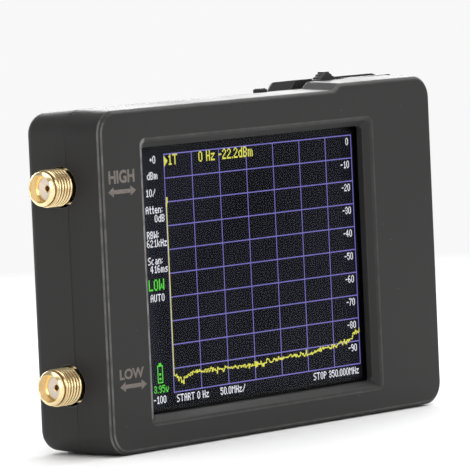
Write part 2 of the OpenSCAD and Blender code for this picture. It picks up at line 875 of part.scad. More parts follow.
// Charging socket, oval in section, open at the top
module usb_outline(grow) {
    round_rect(usb_x - usb_w / 2 - grow, usb_x + usb_w / 2 + grow,
        axis_y - usb_h / 2 - grow, axis_y + usb_h / 2 + grow, usb_r + grow);
}

module usb_shell() {
    ear = 1.0;
    ear_l = 1.2;
    color(steel) {
        difference() {
            layer(usb_low_z, usb_top_z) usb_outline(0);
            layer(usb_low_z + usb_t, usb_top_z + 1) usb_outline(-usb_t);
        }
        for (side = [-1, 1], z = [usb_low_z + 0.6, usb_low_z + 3.6])
            translate([usb_x + side * (usb_w / 2 + ear / 2 - embed / 2), 0, 0])
                box(-(ear + embed) / 2, (ear + embed) / 2, board_back_y,
                    board_back_y + usb_t, z, z + ear_l);
    }
}

module usb_tongue() {
    color("#1d1d1f") {
        layer(usb_low_z + usb_t, tongue_low_z) usb_outline(-usb_t - touch);
        box(usb_x - usb_tongue_w / 2, usb_x + usb_tongue_w / 2, axis_y - usb_tongue_t / 2,
            axis_y + usb_tongue_t / 2, tongue_low_z - embed, usb_tongue_top);
    }
}

module usb_contacts() {
    pad_w = 0.25;
    pad_t2 = 0.06;
    color(gold) for (i = [0 : usb_pads - 1], side = [-1, 1])
        translate([usb_x + (i - (usb_pads - 1) / 2) * usb_pad_pitch, axis_y
                + side * (usb_tongue_t / 2 + pad_t2 / 2), 0])
            box(-pad_w / 2, pad_w / 2, -pad_t2 / 2, pad_t2 / 2, tongue_low_z, usb_tongue_top - 0.4);
}

// Metal housing of the power switch with a slot in its top
module switch_housing() {
    y0 = axis_y - switch_t / 2;
    y1 = axis_y + switch_t / 2;
    x0 = switch_x - switch_w / 2;
    x1 = switch_x + switch_w / 2;
    tab = 0.8;
    color(steel) {
        difference() {
            box(x0, x1, y0, y1, switch_low_z, switch_top_z);
            box(x0 + switch_wall, x1 - switch_wall, y0 + switch_wall, y1 - switch_wall,
                switch_low_z + switch_wall, switch_top_z - switch_wall);
            box(knob_x - knob_w / 2 - slip, knob_x + knob_w / 2 + knob_travel + slip,
                axis_y - knob_t / 2 - slip, axis_y + knob_t / 2 + slip,
                switch_low_z + switch_wall, switch_top_z + 1);
        }
        for (side = [-1, 1], z = [switch_low_z + 0.3, switch_top_z - 1.2])
            translate([switch_x + side * (switch_w / 2 + tab / 2 - embed / 2), 0, 0])
                box(-(tab + embed) / 2, (tab + embed) / 2, board_back_y,
                    board_back_y + switch_wall, z, z + 0.9);
    }
}

module switch_slider() {
    color("#19191b") {
        box(knob_x - knob_w / 2, knob_x + knob_w / 2, axis_y - knob_t / 2,
            axis_y + knob_t / 2, carriage_z, knob_top_z);
        box(knob_x - carriage_w / 2, knob_x + carriage_w / 2, axis_y - knob_t / 2,
            axis_y + knob_t / 2, carriage_z, carriage_z + carriage_h);
    }
}

module switch_wiper() {
    color(gold) box(knob_x - wiper_w / 2, knob_x + wiper_w / 2, axis_y - knob_t / 2 + 0.3,
        axis_y + knob_t / 2 - 0.3, carriage_z - wiper_h, carriage_z);
}

// Frame of the jog switch, open at the top, sunk in a notch of the board
module jog_frame() {
    y0 = axis_y - jog_t / 2;
    y1 = axis_y + jog_t / 2;
    x0 = jog_x - jog_w / 2;
    x1 = jog_x + jog_w / 2;
    tab = 0.9;
    color("#26262a") {
        difference() {
            box(x0, x1, y0, y1, jog_low_z, jog_top_z);
            box(x0 + jog_wall, x1 - jog_wall, y0 + jog_wall, y1 - jog_wall,
                jog_floor_z, jog_top_z + 1);
        }
        for (side = [-1, 1])
            translate([jog_x + side * (jog_w / 2 + tab / 2 - embed / 2), 0, 0])
                box(-(tab + embed) / 2, (tab + embed) / 2, board_back_y,
                    board_back_y + 0.3, jog_low_z + 0.8, jog_low_z + 2.4);
    }
}

// Plunger that carries the pivot and presses the dome
module jog_plunger() {
    color("#3a3a3e") difference() {
        union() {
            box(jog_x - plunger_w / 2, jog_x + plunger_w / 2, axis_y - plunger_t / 2,
                axis_y + plunger_t / 2, plunger_low_z, plunger_top_z);
            translate([jog_x, axis_y, nib_low_z])
                cylinder(r = nib_r, h = plunger_low_z - nib_low_z + embed);
        }
        box(jog_x - foot_half - 0.5, jog_x + foot_half + 0.5, axis_y - foot_t / 2 - slip,
            axis_y + foot_t / 2 + slip, pivot_z - foot_half - slip, plunger_top_z + 1);
        rod_y(axis_y - plunger_t / 2 - 1, axis_y + plunger_t / 2 + 1, jog_x, pivot_z,
            pivot_r + touch);
    }
}

module jog_pin() {
    color(steel) rod_y(axis_y - plunger_t / 2, axis_y + plunger_t / 2, jog_x, pivot_z, pivot_r);
}

// Lever: a roof-shaped thumb piece with a grooved left flank, on a stem with a foot
module jog_lever() {
    wing_top = tip_z - lever_rise - 0.3;
    wing_low = wing_top - 0.8;
    stem_half = 0.9;
    flank = [for (i = [0 : 8]) let (t = i / 8, bump = i % 2 == 0 ? 0 : 0.12)
        [wing_half + (tip_half - wing_half) * t - bump * 0.6,
            wing_top + (tip_z - wing_top) * t - bump]];
    color("#1b1b1d") translate([jog_x, 0, 0]) difference() {
        union() {
            slab(axis_y - lever_t / 2, axis_y + lever_t / 2) polygon(concat(
                [[-stem_half, wing_low - 0.4], [stem_half, wing_low - 0.4], [wing_half, wing_low]],
                flank,
                [for (i = [8 : -1 : 0]) [-flank[i][0], flank[i][1]]],
                [[-wing_half, wing_low]]));
            slab(axis_y - foot_t / 2, axis_y + foot_t / 2) {
                rect(-stem_half, stem_half, pivot_z, wing_low);
                translate([0, pivot_z]) circle(foot_half);
            }
        }
        rod_y(axis_y - foot_t, axis_y + foot_t, 0, pivot_z, pivot_r + pivot_gap);
    }
}

// Snap dome on the floor of the frame
module jog_dome() {
    r = (dome_half * dome_half + dome_h * dome_h) / (2 * dome_h);
    color(steel) intersection() {
        translate([jog_x, axis_y, jog_floor_z]) rotate_extrude() intersection() {
            translate([0, dome_h - r]) circle(r, $fn = 360);
            square([dome_half, dome_h]);
        }
        box(jog_x - dome_half, jog_x + dome_half, axis_y - plunger_t / 2,
            axis_y + plunger_t / 2, jog_floor_z, jog_floor_z + 1);
    }
}

module battery_cell() {
    r = 1.2;
    color("#b9bcc2") layer(cell_z, cell_z + cell_h)
        round_rect(cell_x, cell_x + cell_w, cell_y, cell_y + cell_t, r);
}

module battery_pad() {
    edge = 4;
    color("#ded9c8") slab(board_back_y, cell_y)
        rect(cell_x + edge, cell_x + cell_w - edge, cell_z + edge, cell_z + cell_h - edge);
}

module battery_header() {
    color("#efe9dc") difference() {
        box(header_x, header_x + header_w, board_back_y, board_back_y + header_t,
            header_z, header_z + header_l);
        box(plug_x - touch, header_x + header_w + 1, lead_y - plug_t / 2 - touch,
            lead_y + plug_t / 2 + touch, header_z + 0.6 - touch, header_z + header_l - 0.6 + touch);
    }
}

module battery_plug() {
    color("#f6f3ea") box(plug_x, plug_x + plug_w, lead_y - plug_t / 2, lead_y + plug_t / 2,
        header_z + 0.6, header_z + header_l - 0.6);
}

// Lead: up from the cell, a quarter turn to the left, straight into the plug
module battery_lead(z) {
    x = lead_x + z - lead_z;
    translate([x, lead_y, cell_z + cell_h])
        cylinder(r = lead_r, h = z - lead_bend - cell_z - cell_h);
    translate([x - lead_bend, lead_y, z - lead_bend]) rotate([90, 0, 0])
        rotate_extrude(angle = 90) translate([lead_bend, 0]) circle(lead_r);
    rod_x(plug_x + plug_w, x - lead_bend, lead_y, z, lead_r);
}

module positive_lead() { color("#b3261c") battery_lead(lead_z + lead_pitch); }
module negative_lead() { color("#1a1a1a") battery_lead(lead_z); }

front_shell();
rear_shell();
case_screws();
display_gasket();
touch_panel();
lcd_panel();
lcd_backlight();
display_tape();
lcd_flex();
flex_connector();
main_board();
upper_sma_body();
upper_sma_dielectric();
upper_sma_contact();
lower_sma_body();
lower_sma_dielectric();
lower_sma_contact();
shield_frames();
shield_covers();
radio_chips();
microcontroller();
crystals();
power_chips();
coils();
board_passives();
usb_shell();
usb_tongue();
usb_contacts();
switch_housing();
switch_slider();
switch_wiper();
jog_frame();
jog_plunger();
jog_pin();
jog_lever();
jog_dome();
battery_cell();
battery_pad();
battery_header();
battery_plug();
positive_lead();
negative_lead();
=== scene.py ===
"""Pocket two-port spectrum analyzer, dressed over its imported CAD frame.

Sizes are millimetres in the frame of the part: X to the right, the screen faces -Y, +Z is up, and
the origin is the middle of the bottom face. Meshes are turned into metres when they are placed.
"""

from __future__ import annotations

import logging
import math
import random
from dataclasses import dataclass
from enum import Enum
from functools import lru_cache
from typing import Callable, Iterable, Optional, Sequence

import bmesh
import bpy
from mathutils import Matrix, Vector

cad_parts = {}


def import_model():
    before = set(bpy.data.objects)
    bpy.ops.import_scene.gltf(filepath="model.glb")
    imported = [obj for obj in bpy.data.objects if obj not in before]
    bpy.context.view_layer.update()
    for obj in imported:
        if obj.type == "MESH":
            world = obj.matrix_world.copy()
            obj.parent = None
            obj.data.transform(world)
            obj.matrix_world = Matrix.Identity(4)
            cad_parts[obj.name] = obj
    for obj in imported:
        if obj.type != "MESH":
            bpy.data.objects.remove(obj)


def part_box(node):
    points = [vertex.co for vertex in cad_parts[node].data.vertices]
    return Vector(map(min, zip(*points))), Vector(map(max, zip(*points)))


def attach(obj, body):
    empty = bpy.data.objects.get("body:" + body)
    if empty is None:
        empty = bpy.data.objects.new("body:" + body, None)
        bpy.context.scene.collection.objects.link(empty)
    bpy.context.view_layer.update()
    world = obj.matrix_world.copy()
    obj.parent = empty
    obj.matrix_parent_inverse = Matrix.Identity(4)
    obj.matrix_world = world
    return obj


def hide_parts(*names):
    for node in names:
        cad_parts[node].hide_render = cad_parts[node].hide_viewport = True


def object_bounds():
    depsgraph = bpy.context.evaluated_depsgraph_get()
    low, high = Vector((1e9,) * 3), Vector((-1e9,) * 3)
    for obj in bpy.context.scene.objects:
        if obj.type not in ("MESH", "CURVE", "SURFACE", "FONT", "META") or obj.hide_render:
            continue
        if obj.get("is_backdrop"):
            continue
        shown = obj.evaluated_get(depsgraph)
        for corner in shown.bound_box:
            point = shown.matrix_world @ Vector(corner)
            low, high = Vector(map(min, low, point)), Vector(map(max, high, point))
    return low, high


LOG = logging.getLogger("analyzer")
MM = 0.001
# Name of the per-corner mask that pales rubbed edges, paints highlight lines where the shells keep
# it full or raise it, and paints shade into thread grooves by their depth.
EDGE = "edge"

Point = tuple[float, float]
Colour = tuple[float, float, float]
Place = tuple[float, float, float]


class Body(Enum):
    """The bodies that the joints move."""

    CASE = "case"
    SLIDER = "slider"
    PLUNGER = "plunger"
    LEVER = "lever"


class Plane(Enum):
    """The plane that an outline is drawn in. Its depth runs along the third axis."""

    FRONT = "xz"
    SIDE = "yz"
    TOP = "xy"

    def at(self, u: float, v: float, depth: float) -> Vector:
        """Gives the point of an outline at a depth."""
        if self is Plane.FRONT:
            return Vector((u, depth, v))
        if self is Plane.SIDE:
            return Vector((depth, u, v))
        return Vector((u, v, depth))


# Shader building


class Nodes:
    """Short calls for building a node tree."""

    def __init__(self, tree: bpy.types.NodeTree) -> None:
        """Takes the tree that the nodes go into."""
        self.tree = tree

    def add(self, kind: str, **settings: object) -> bpy.types.Node:
        """Adds a node.

        Args:
            kind: The node's type without its ShaderNode prefix.
            settings: Properties of the node.

        Returns:
            The new node.
        """
        node = self.tree.nodes.new("ShaderNode" + kind)
        for name, value in settings.items():
            setattr(node, name, value)
        return node

    def wire(self, value: object, socket: bpy.types.NodeSocket) -> None:
        """Links a socket, or sets a constant.

        Args:
            value: An output socket, a number, or a colour.
            socket: The input that takes it.
        """
        if isinstance(value, bpy.types.NodeSocket):
            self.tree.links.new(value, socket)
        elif socket.type == "RGBA" and isinstance(value, tuple):
            socket.default_value = (*value[:3], 1.0)
        else:
            socket.default_value = value

    def noise(self, vector: object, scale: float, detail: float = 2.0) -> bpy.types.NodeSocket:
        """Gives noise with features of about 1 / scale."""
        node = self.add("TexNoise")
        self.wire(vector, node.inputs["Vector"])
        node.inputs["Scale"].default_value = scale
        node.inputs["Detail"].default_value = detail
        return node.outputs["Fac"]

    def maths(self, operation: str, a: object, b: object = 0.0) -> bpy.types.NodeSocket:
        """Gives a sum of two values."""
        node = self.add("Math", operation=operation)
        self.wire(a, node.inputs[0])
        self.wire(b, node.inputs[1])
        return node.outputs[0]

    def spread(self, value: object, low: float, high: float, to_low: float = 0.0,
               to_high: float = 1.0) -> bpy.types.NodeSocket:
        """Maps low..high to to_low..to_high, clamped."""
        node = self.add("MapRange")
        for name, v in (("Value", value), ("From Min", low), ("From Max", high),
                        ("To Min", to_low), ("To Max", to_high)):
            self.wire(v, node.inputs[name])
        return node.outputs["Result"]

    def mix(self, factor: object, a: object, b: object) -> bpy.types.NodeSocket:
        """Blends colour a into colour b."""
        node = self.add("Mix", data_type="RGBA")
        self.wire(factor, node.inputs[0])
        self.wire(a, node.inputs[6])
        self.wire(b, node.inputs[7])
        return node.outputs[2]

    def mapped(self, vector: object, scale: Place = (1.0, 1.0, 1.0), turn: Place = (0.0, 0.0, 0.0),
               move: Place = (0.0, 0.0, 0.0)) -> bpy.types.NodeSocket:
        """Gives a vector that is scaled, turned and moved."""
        node = self.add("Mapping")
        self.wire(vector, node.inputs["Vector"])
        node.inputs["Scale"].default_value = scale
        node.inputs["Rotation"].default_value = turn
        node.inputs["Location"].default_value = move
        return node.outputs["Vector"]


class Shader(Nodes):
    """A material with one Principled shader, whose patterns are sized in millimetres."""

    def __init__(self, name: str) -> None:
        """Makes the material with its surface and output.

        Args:
            name: Name of the material.
        """
        self.material = bpy.data.materials.new(name)
        self.material.use_nodes = True
        super().__init__(self.material.node_tree)
        self.tree.nodes.clear()
        self.surface = self.add("BsdfPrincipled")
        output = self.add("OutputMaterial")
        self.tree.links.new(self.surface.outputs[0], output.inputs["Surface"])
        self.here = self.mapped(self.add("TexCoord").outputs["Object"], (1 / MM,) * 3)

    def set(self, name: str, value: object) -> None:
        """Sets or links an input of the surface."""
        self.wire(value, self.surface.inputs[name])

    def edge(self) -> bpy.types.NodeSocket:
        """Gives the edge mask: rounded edges for wear and painted highlight lines, and groove depth
        for painted shade.
        """
        return self.add("Attribute", attribute_name=EDGE).outputs["Fac"]

    def effect(self, group: bpy.types.NodeTree, **values: object) -> bpy.types.Node:
        """Places a shared effect with its own values."""
        node = self.add("Group")
        node.node_tree = group
        for name, value in values.items():
            self.wire(value, node.inputs[name.replace("_", " ").title()])
        return node

    def relief(self, height: object, depth: float, strength: float = 1.0) -> None:
        """Feeds the normal from a height.

        Args:
            height: The height, from 0 to 1.
            depth: What a height of 1 stands for, in millimetres.
            strength: Share of the effect.
        """
        bump = self.add("Bump")
        bump.inputs["Distance"].default_value = depth * MM
        bump.inputs["Strength"].default_value = strength
        self.wire(height, bump.inputs["Height"])
        self.set("Normal", bump.outputs["Normal"])


class Effects:
    """The node groups that several finishes share. Each is built once."""

    @staticmethod
    def _group(name: str, takes: Sequence[tuple[str, str, object]],
               gives: Sequence[tuple[str, str]]) -> tuple[Nodes, bpy.types.Node, bpy.types.Node]:
        """Starts a group with its sockets.

        Args:
            name: Name of the group.
            takes: Name, socket type and default of each input.
            gives: Name and socket type of each output.

        Returns:
            The tree's builder, its input node and its output node.
        """
        tree = bpy.data.node_groups.new(name, "ShaderNodeTree")
        for label, kind, default in takes:
            socket = tree.interface.new_socket(name=label, in_out="INPUT", socket_type=kind)
            if default is not None:
                socket.default_value = default
        for label, kind in gives:
            tree.interface.new_socket(name=label, in_out="OUTPUT", socket_type=kind)
        nodes = Nodes(tree)
        return (nodes, tree.nodes.new("NodeGroupInput"), tree.nodes.new("NodeGroupOutput"))

    @staticmethod
    @lru_cache(maxsize=None)
    def grain() -> bpy.types.NodeTree:
        """Gives the fine eroded texture of a mould: a height and a slow mottle.

        Returns:
            The node group.
        """
        nodes, source, sink = Effects._group(
            "moulded_grain",
            [("Vector", "NodeSocketVector", None), ("Size", "NodeSocketFloat", 0.3)],
            [("Height", "NodeSocketFloat"), ("Mottle", "NodeSocketFloat")])
        scale = nodes.maths("DIVIDE", 1.0, source.outputs["Size"])
        fine = nodes.add("TexNoise")
        coarse = nodes.add("TexNoise")
        for node, factor, detail in ((fine, 1.0, 3.0), (coarse, 0.37, 1.0)):
            nodes.wire(source.outputs["Vector"], node.inputs["Vector"])
            nodes.wire(nodes.maths("MULTIPLY", scale, factor), node.inputs["Scale"])
            node.inputs["Detail"].default_value = detail
        total = nodes.maths("ADD", nodes.maths("MULTIPLY", coarse.outputs["Fac"], 0.4),
                            nodes.maths("MULTIPLY", fine.outputs["Fac"], 0.6))
        nodes.wire(total, sink.inputs["Height"])
        mottle = nodes.noise(nodes.mapped(source.outputs["Vector"]), 0.07, 3.0)
        nodes.wire(nodes.spread(mottle, 0.3, 0.7), sink.inputs["Mottle"])
        return nodes.tree

    @staticmethod
    @lru_cache(maxsize=None)
    def edge_wear() -> bpy.types.NodeTree:
        """Gives a colour that is paler along the rounded edges, in patches: rubbed wear, and painted
        highlight lines where the mask is kept full or raised.

        Returns:
            The node group.
        """
        nodes, source, sink = Effects._group(
            "edge_wear",
            [("Vector", "NodeSocketVector", None), ("Edge", "NodeSocketFloat", 0.0),
             ("Amount", "NodeSocketFloat", 0.5), ("Base", "NodeSocketColor", None),
             ("Worn", "NodeSocketColor", None)],
            [("Color", "NodeSocketColor"), ("Mask", "NodeSocketFloat")])
        patches = nodes.spread(nodes.noise(source.outputs["Vector"], 0.45, 4.0), 0.32, 0.68, 0.35)
        mask = nodes.maths("MULTIPLY", nodes.maths("MULTIPLY", patches, source.outputs["Edge"]),
                           source.outputs["Amount"])
        nodes.wire(nodes.mix(mask, source.outputs["Base"], source.outputs["Worn"]),
                   sink.inputs["Color"])
        nodes.wire(mask, sink.inputs["Mask"])
        return nodes.tree

    @staticmethod
    @lru_cache(maxsize=None)
    def dust() -> bpy.types.NodeTree:
        """Gives a sparse mask of small specks.

        Returns:
            The node group.
        """
        nodes, source, sink = Effects._group(
            "dust_specks",
            [("Vector", "NodeSocketVector", None), ("Spacing", "NodeSocketFloat", 3.0),
             ("Amount", "NodeSocketFloat", 0.5)],
            [("Mask", "NodeSocketFloat")])
        cells = nodes.add("TexVoronoi")
        nodes.wire(source.outputs["Vector"], cells.inputs["Vector"])
        nodes.wire(nodes.maths("DIVIDE", 1.0, source.outputs["Spacing"]), cells.inputs["Scale"])
        speck = nodes.spread(cells.outputs["Distance"], 0.035, 0.06, 1.0, 0.0)
        chosen = nodes.spread(nodes.noise(source.outputs["Vector"], 0.3, 1.0), 0.5, 0.62)
        mask = nodes.maths("MULTIPLY", nodes.maths("MULTIPLY", speck, chosen),
                           source.outputs["Amount"])
        nodes.wire(mask, sink.inputs["Mask"])
        return nodes.tree

    @staticmethod
    @lru_cache(maxsize=None)
    def tool_marks() -> bpy.types.NodeTree:
        """Gives the fine lines of turned or brushed metal along a stretched vector.

        Returns:
            The node group.
        """
        nodes, source, sink = Effects._group(
            "tool_marks", [("Vector", "NodeSocketVector", None)],
            [("Height", "NodeSocketFloat"), ("Tone", "NodeSocketFloat")])
        lines = nodes.noise(source.outputs["Vector"], 1.0, 4.0)
        nodes.wire(nodes.spread(lines, 0.25, 0.75), sink.inputs["Height"])
        tone = nodes.noise(source.outputs["Vector"], 0.13, 2.0)
        nodes.wire(nodes.spread(tone, 0.3, 0.7), sink.inputs["Tone"])
        return nodes.tree


# Finishes


@dataclass(frozen=True)
class Finish:
    """A kind of surface, whose material is built once."""

    name: str

    @lru_cache(maxsize=None)
    def material(self) -> bpy.types.Material:
        """Builds the material.

        Returns:
            The material, the same one at every call.
        """
        shader = Shader(self.name)
        self.paint(shader)
        return shader.material

    def paint(self, s: Shader) -> None:
        """Sets the surface. Each kind has its own way."""
        raise NotImplementedError


@dataclass(frozen=True)
class MouldedPlastic(Finish):
    """Moulded plastic with an eroded grain, paler rubbed edges that also carry painted highlight
    lines where the edge mask calls for them, and a little dust.
    """

    colour: Colour
    worn: Colour
    rough: float = 0.5
    grain: float = 0.28
    depth: float = 0.012
    wear_and_highlight: float = 0.5
    dusty: float = 0.25
    gloss: float = 0.5

    def paint(self, s: Shader) -> None:
        """Sets the surface.

        Args:
            s: Shader of the material.
        """
        grain = s.effect(Effects.grain(), vector=s.here, size=self.grain)
        mottle = grain.outputs["Mottle"]
        shade = tuple(c * 0.88 for c in self.colour)
        base = s.mix(mottle, shade, self.colour)
        # The edge mask pales rubbed edges and, on the shell's left side and left window lip, paints
        # highlight lines.
        wear_and_highlight = s.effect(Effects.edge_wear(), vector=s.here, edge=s.edge(), amount=self.wear_and_highlight,
                        base=base, worn=self.worn)
        dust = s.effect(Effects.dust(), vector=s.here, spacing=2.6, amount=self.dusty)
        s.set("Base Color", s.mix(dust.outputs["Mask"], wear_and_highlight.outputs["Color"], (0.32, 0.31, 0.30)))
        rough = s.spread(mottle, 0.0, 1.0, self.rough - 0.04, self.rough + 0.04)
        s.set("Roughness", s.maths("SUBTRACT", rough,
                                   s.maths("MULTIPLY", wear_and_highlight.outputs["Mask"], 0.15)))
        s.set("Specular IOR Level", self.gloss)
        s.relief(grain.outputs["Height"], self.depth)


@dataclass(frozen=True)
class Metal(Finish):
    """Plated or bare metal with tool marks and a slight tarnish, and, where a groove colour is
    given, painted shade in the grooves that the edge mask marks.
    """

    colour: Colour
    tarnish: Colour
    rough: float = 0.2
    marks: Place = (9.0, 0.6, 0.6)
    depth: float = 0.0015
    spread: float = 0.07
    groove_shade: Optional[Colour] = None

    def paint(self, s: Shader) -> None:
        """Sets the surface.

        Args:
            s: Shader of the material.
        """
        lines = s.effect(Effects.tool_marks(), vector=s.mapped(s.here, self.marks))
        patch = s.spread(s.noise(s.here, 0.35, 4.0), 0.38, 0.72)
        tone = s.maths("MULTIPLY", lines.outputs["Tone"], 0.35)
        amount = s.maths("MINIMUM", s.maths("ADD", s.maths("MULTIPLY", patch, 0.4), tone), 1.0)
        tint = s.mix(amount, self.colour, self.tarnish)
        # Painted shade: the groove colour darkens the thread grooves by the edge mask.
        if self.groove_shade is not None:
            tint = s.mix(s.edge(), tint, self.groove_shade)
        s.set("Base Color", tint)
        s.set("Metallic", 1.0)
        s.set("Roughness", s.spread(amount, 0.0, 1.0, self.rough, self.rough + self.spread))
        s.relief(lines.outputs["Height"], self.depth)


@dataclass(frozen=True)
class Foam(Finish):
    """Closed-cell foam, with painted shade in the pits of its cells."""

    colour: Colour
    cell: float = 0.35

    def paint(self, s: Shader) -> None:
        """Sets the surface.

        Args:
            s: Shader of the material.
        """
        cells = s.add("TexVoronoi")
        s.wire(s.here, cells.inputs["Vector"])
        cells.inputs["Scale"].default_value = 1 / self.cell
        depth = s.spread(cells.outputs["Distance"], 0.0, 0.7)
        # Painted shade: the cell pits are darker.
        painted_pit_shade = tuple(c * 0.55 for c in self.colour)
        s.set("Base Color", s.mix(depth, painted_pit_shade, self.colour))
        s.set("Roughness", s.spread(depth, 0.0, 1.0, 0.95, 0.8))
        s.relief(depth, 0.08)


@dataclass(frozen=True)
class ClearPanel(Finish):
    """The clear touch panel, whose coating keeps its reflections low."""

    tint: Colour
    index: float = 1.09

    def paint(self, s: Shader) -> None:
        """Sets the surface.

        Args:
            s: Shader of the material.
        """
        s.set("Base Color", self.tint)
        s.set("Transmission Weight", 1.0)
        s.set("IOR", self.index)
        s.set("Roughness", 0.0)


@dataclass(frozen=True)
class DarkGlass(Finish):
    """Dark display glass, seen through the touch panel."""

    colour: Colour

    def paint(self, s: Shader) -> None:
        """Sets the surface.

        Args:
            s: Shader of the material.
        """
        mottle = s.spread(s.noise(s.here, 0.12, 3.0), 0.35, 0.65)
        s.set("Base Color", s.mix(mottle, self.colour, tuple(c * 1.4 for c in self.colour)))
        s.set("Roughness", s.spread(mottle, 0.0, 1.0, 0.5, 0.6))
        s.set("Specular IOR Level", 0.05)


@dataclass(frozen=True)
class BacklightWithPaintedReflection(Finish):
    """The unlit ground of the picture: nearly black, with the uneven glow of its backlight, and a
    painted reflection that brightens a strip along its left edge.
    """

    black: Colour
    glow: Colour
    left: float
    width: float

    def paint(self, s: Shader) -> None:
        """Sets the surface.

        Args:
            s: Shader of the material.
        """
        across = s.add("SeparateXYZ")
        s.wire(s.here, across.inputs[0])
        t = s.spread(across.outputs["X"], self.left, self.left + self.width)
        # Painted reflection: the ground brightens towards its left edge.
        painted_left_reflection = s.spread(t, 0.0, 0.09, 1.0, 0.0)
        cloud = s.spread(s.noise(s.here, 0.035, 2.0), 0.35, 0.7, 0.0, 0.5)
        s.set("Emission Color", s.mix(s.maths("MAXIMUM", painted_left_reflection, cloud), self.black, self.glow))
        s.set("Emission Strength", 1.0)
        s.set("Base Color", (0.002, 0.002, 0.003))
        s.set("Roughness", 1.0)
        s.set("Specular IOR Level", 0.0)


@dataclass(frozen=True)
class Lit(Finish):
    """One colour of the lit picture, with the slight row structure of its dots."""

    colour: Colour
    power: float = 1.0

    def paint(self, s: Shader) -> None:
        """Sets the surface.

        Args:
            s: Shader of the material.
        """
        flicker = s.spread(s.noise(s.here, 2.2, 1.0), 0.3, 0.7)
        s.set("Emission Color", s.mix(flicker, tuple(c * 0.82 for c in self.colour), self.colour))
        s.set("Emission Strength", self.power)
        s.set("Base Color", (0.01, 0.01, 0.01))
        s.set("Roughness", 0.5)
        s.set("Specular IOR Level", 0.0)


@dataclass(frozen=True)
class Ink(Finish):
    """Pad-printed ink, a little worn through in places."""

    colour: Colour
    under: Colour

    def paint(self, s: Shader) -> None:
        """Sets the surface.

        Args:
            s: Shader of the material.
        """
        worn = s.spread(s.noise(s.here, 2.6, 5.0), 0.34, 0.66, 0.55, 0.0)
        s.set("Base Color", s.mix(worn, self.colour, self.under))
        s.set("Roughness", s.spread(worn, 0.0, 0.6, 0.55, 0.65))


@dataclass(frozen=True)
class SolderMask(Finish):
    """Green solder mask over copper tracks."""

    mask: Colour
    over_copper: Colour

    def paint(self, s: Shader) -> None:
        """Sets the surface.

        Args:
            s: Shader of the material.
        """
        front = s.mapped(s.here, (0.28, 0.28, 0.28), (math.radians(90), 0.0, 0.0))
        tracks = s.add("TexBrick", offset=0.37, squash=1.0)
        s.wire(front, tracks.inputs["Vector"])
        for name, value in (("Scale", 1.0), ("Mortar Size", 0.035), ("Mortar Smooth", 0.1),
                            ("Brick Width", 1.7), ("Row Height", 0.55)):
            tracks.inputs[name].default_value = value
        copper = s.maths("MAXIMUM", tracks.outputs["Fac"],
                         s.spread(s.noise(s.here, 0.08, 0.0), 0.52, 0.53))
        s.set("Base Color", s.mix(copper, self.mask, self.over_copper))
        s.set("Roughness", s.spread(s.noise(s.here, 1.5, 2.0), 0.3, 0.7, 0.24, 0.36))
        s.relief(copper, 0.03)


@dataclass(frozen=True)
class Package(Finish):
    """Moulded chip package with a laser-matted patch in its surface."""

    colour: Colour

    def paint(self, s: Shader) -> None:
        """Sets the surface.

        Args:
            s: Shader of the material.
        """
        grain = s.effect(Effects.grain(), vector=s.here, size=0.12)
        wear_and_highlight = s.effect(Effects.edge_wear(), vector=s.here, edge=s.edge(), amount=0.4,
                        base=s.mix(grain.outputs["Mottle"], self.colour,
                                   tuple(c * 1.5 for c in self.colour)),
                        worn=(0.10, 0.10, 0.10))
        s.set("Base Color", wear_and_highlight.outputs["Color"])
        s.set("Roughness", s.spread(grain.outputs["Height"], 0.3, 0.7, 0.5, 0.68))
        s.relief(grain.outputs["Height"], 0.008)


@dataclass(frozen=True)
class CreasedFoil(Finish):
    """Silver pouch foil with shallow creases, darkened along them by painted shade."""

    colour: Colour

    def paint(self, s: Shader) -> None:
        """Sets the surface.

        Args:
            s: Shader of the material.
        """
        creases = s.add("TexVoronoi", feature="DISTANCE_TO_EDGE")
        s.wire(s.mapped(s.here, (1.0, 1.0, 0.6)), creases.inputs["Vector"])
        creases.inputs["Scale"].default_value = 0.12
        line = s.spread(creases.outputs["Distance"], 0.0, 0.06)
        waves = s.noise(s.here, 0.2, 3.0)
        # Painted shade: the creases are darker.
        s.set("Base Color", s.mix(line, tuple(c * 0.75 for c in self.colour), self.colour))
        s.set("Metallic", s.spread(waves, 0.2, 0.8, 0.75, 0.95))
        s.set("Roughness", s.spread(waves, 0.3, 0.7, 0.3, 0.45))
        s.relief(s.maths("ADD", s.maths("MULTIPLY", line, 0.4), waves), 0.25)


@dataclass(frozen=True)
class CopperFilm(Finish):
    """Amber film with copper conductors that run along it."""

    film: Colour
    copper: Colour
    pitch: float = 0.5

    def paint(self, s: Shader) -> None:
        """Sets the surface.

        Args:
            s: Shader of the material.
        """
        waves = s.add("TexWave", wave_type="BANDS", bands_direction="Z", wave_profile="SIN")
        s.wire(s.here, waves.inputs["Vector"])
        waves.inputs["Scale"].default_value = 0.314 / self.pitch
        bands = s.spread(waves.outputs["Fac"], 0.45, 0.55)
        s.set("Base Color", s.mix(bands, self.film, self.copper))
        s.set("Roughness", s.spread(s.noise(s.here, 0.8, 2.0), 0.3, 0.7, 0.25, 0.4))
        s.set("Coat Weight", 0.4)
        s.relief(bands, 0.02)


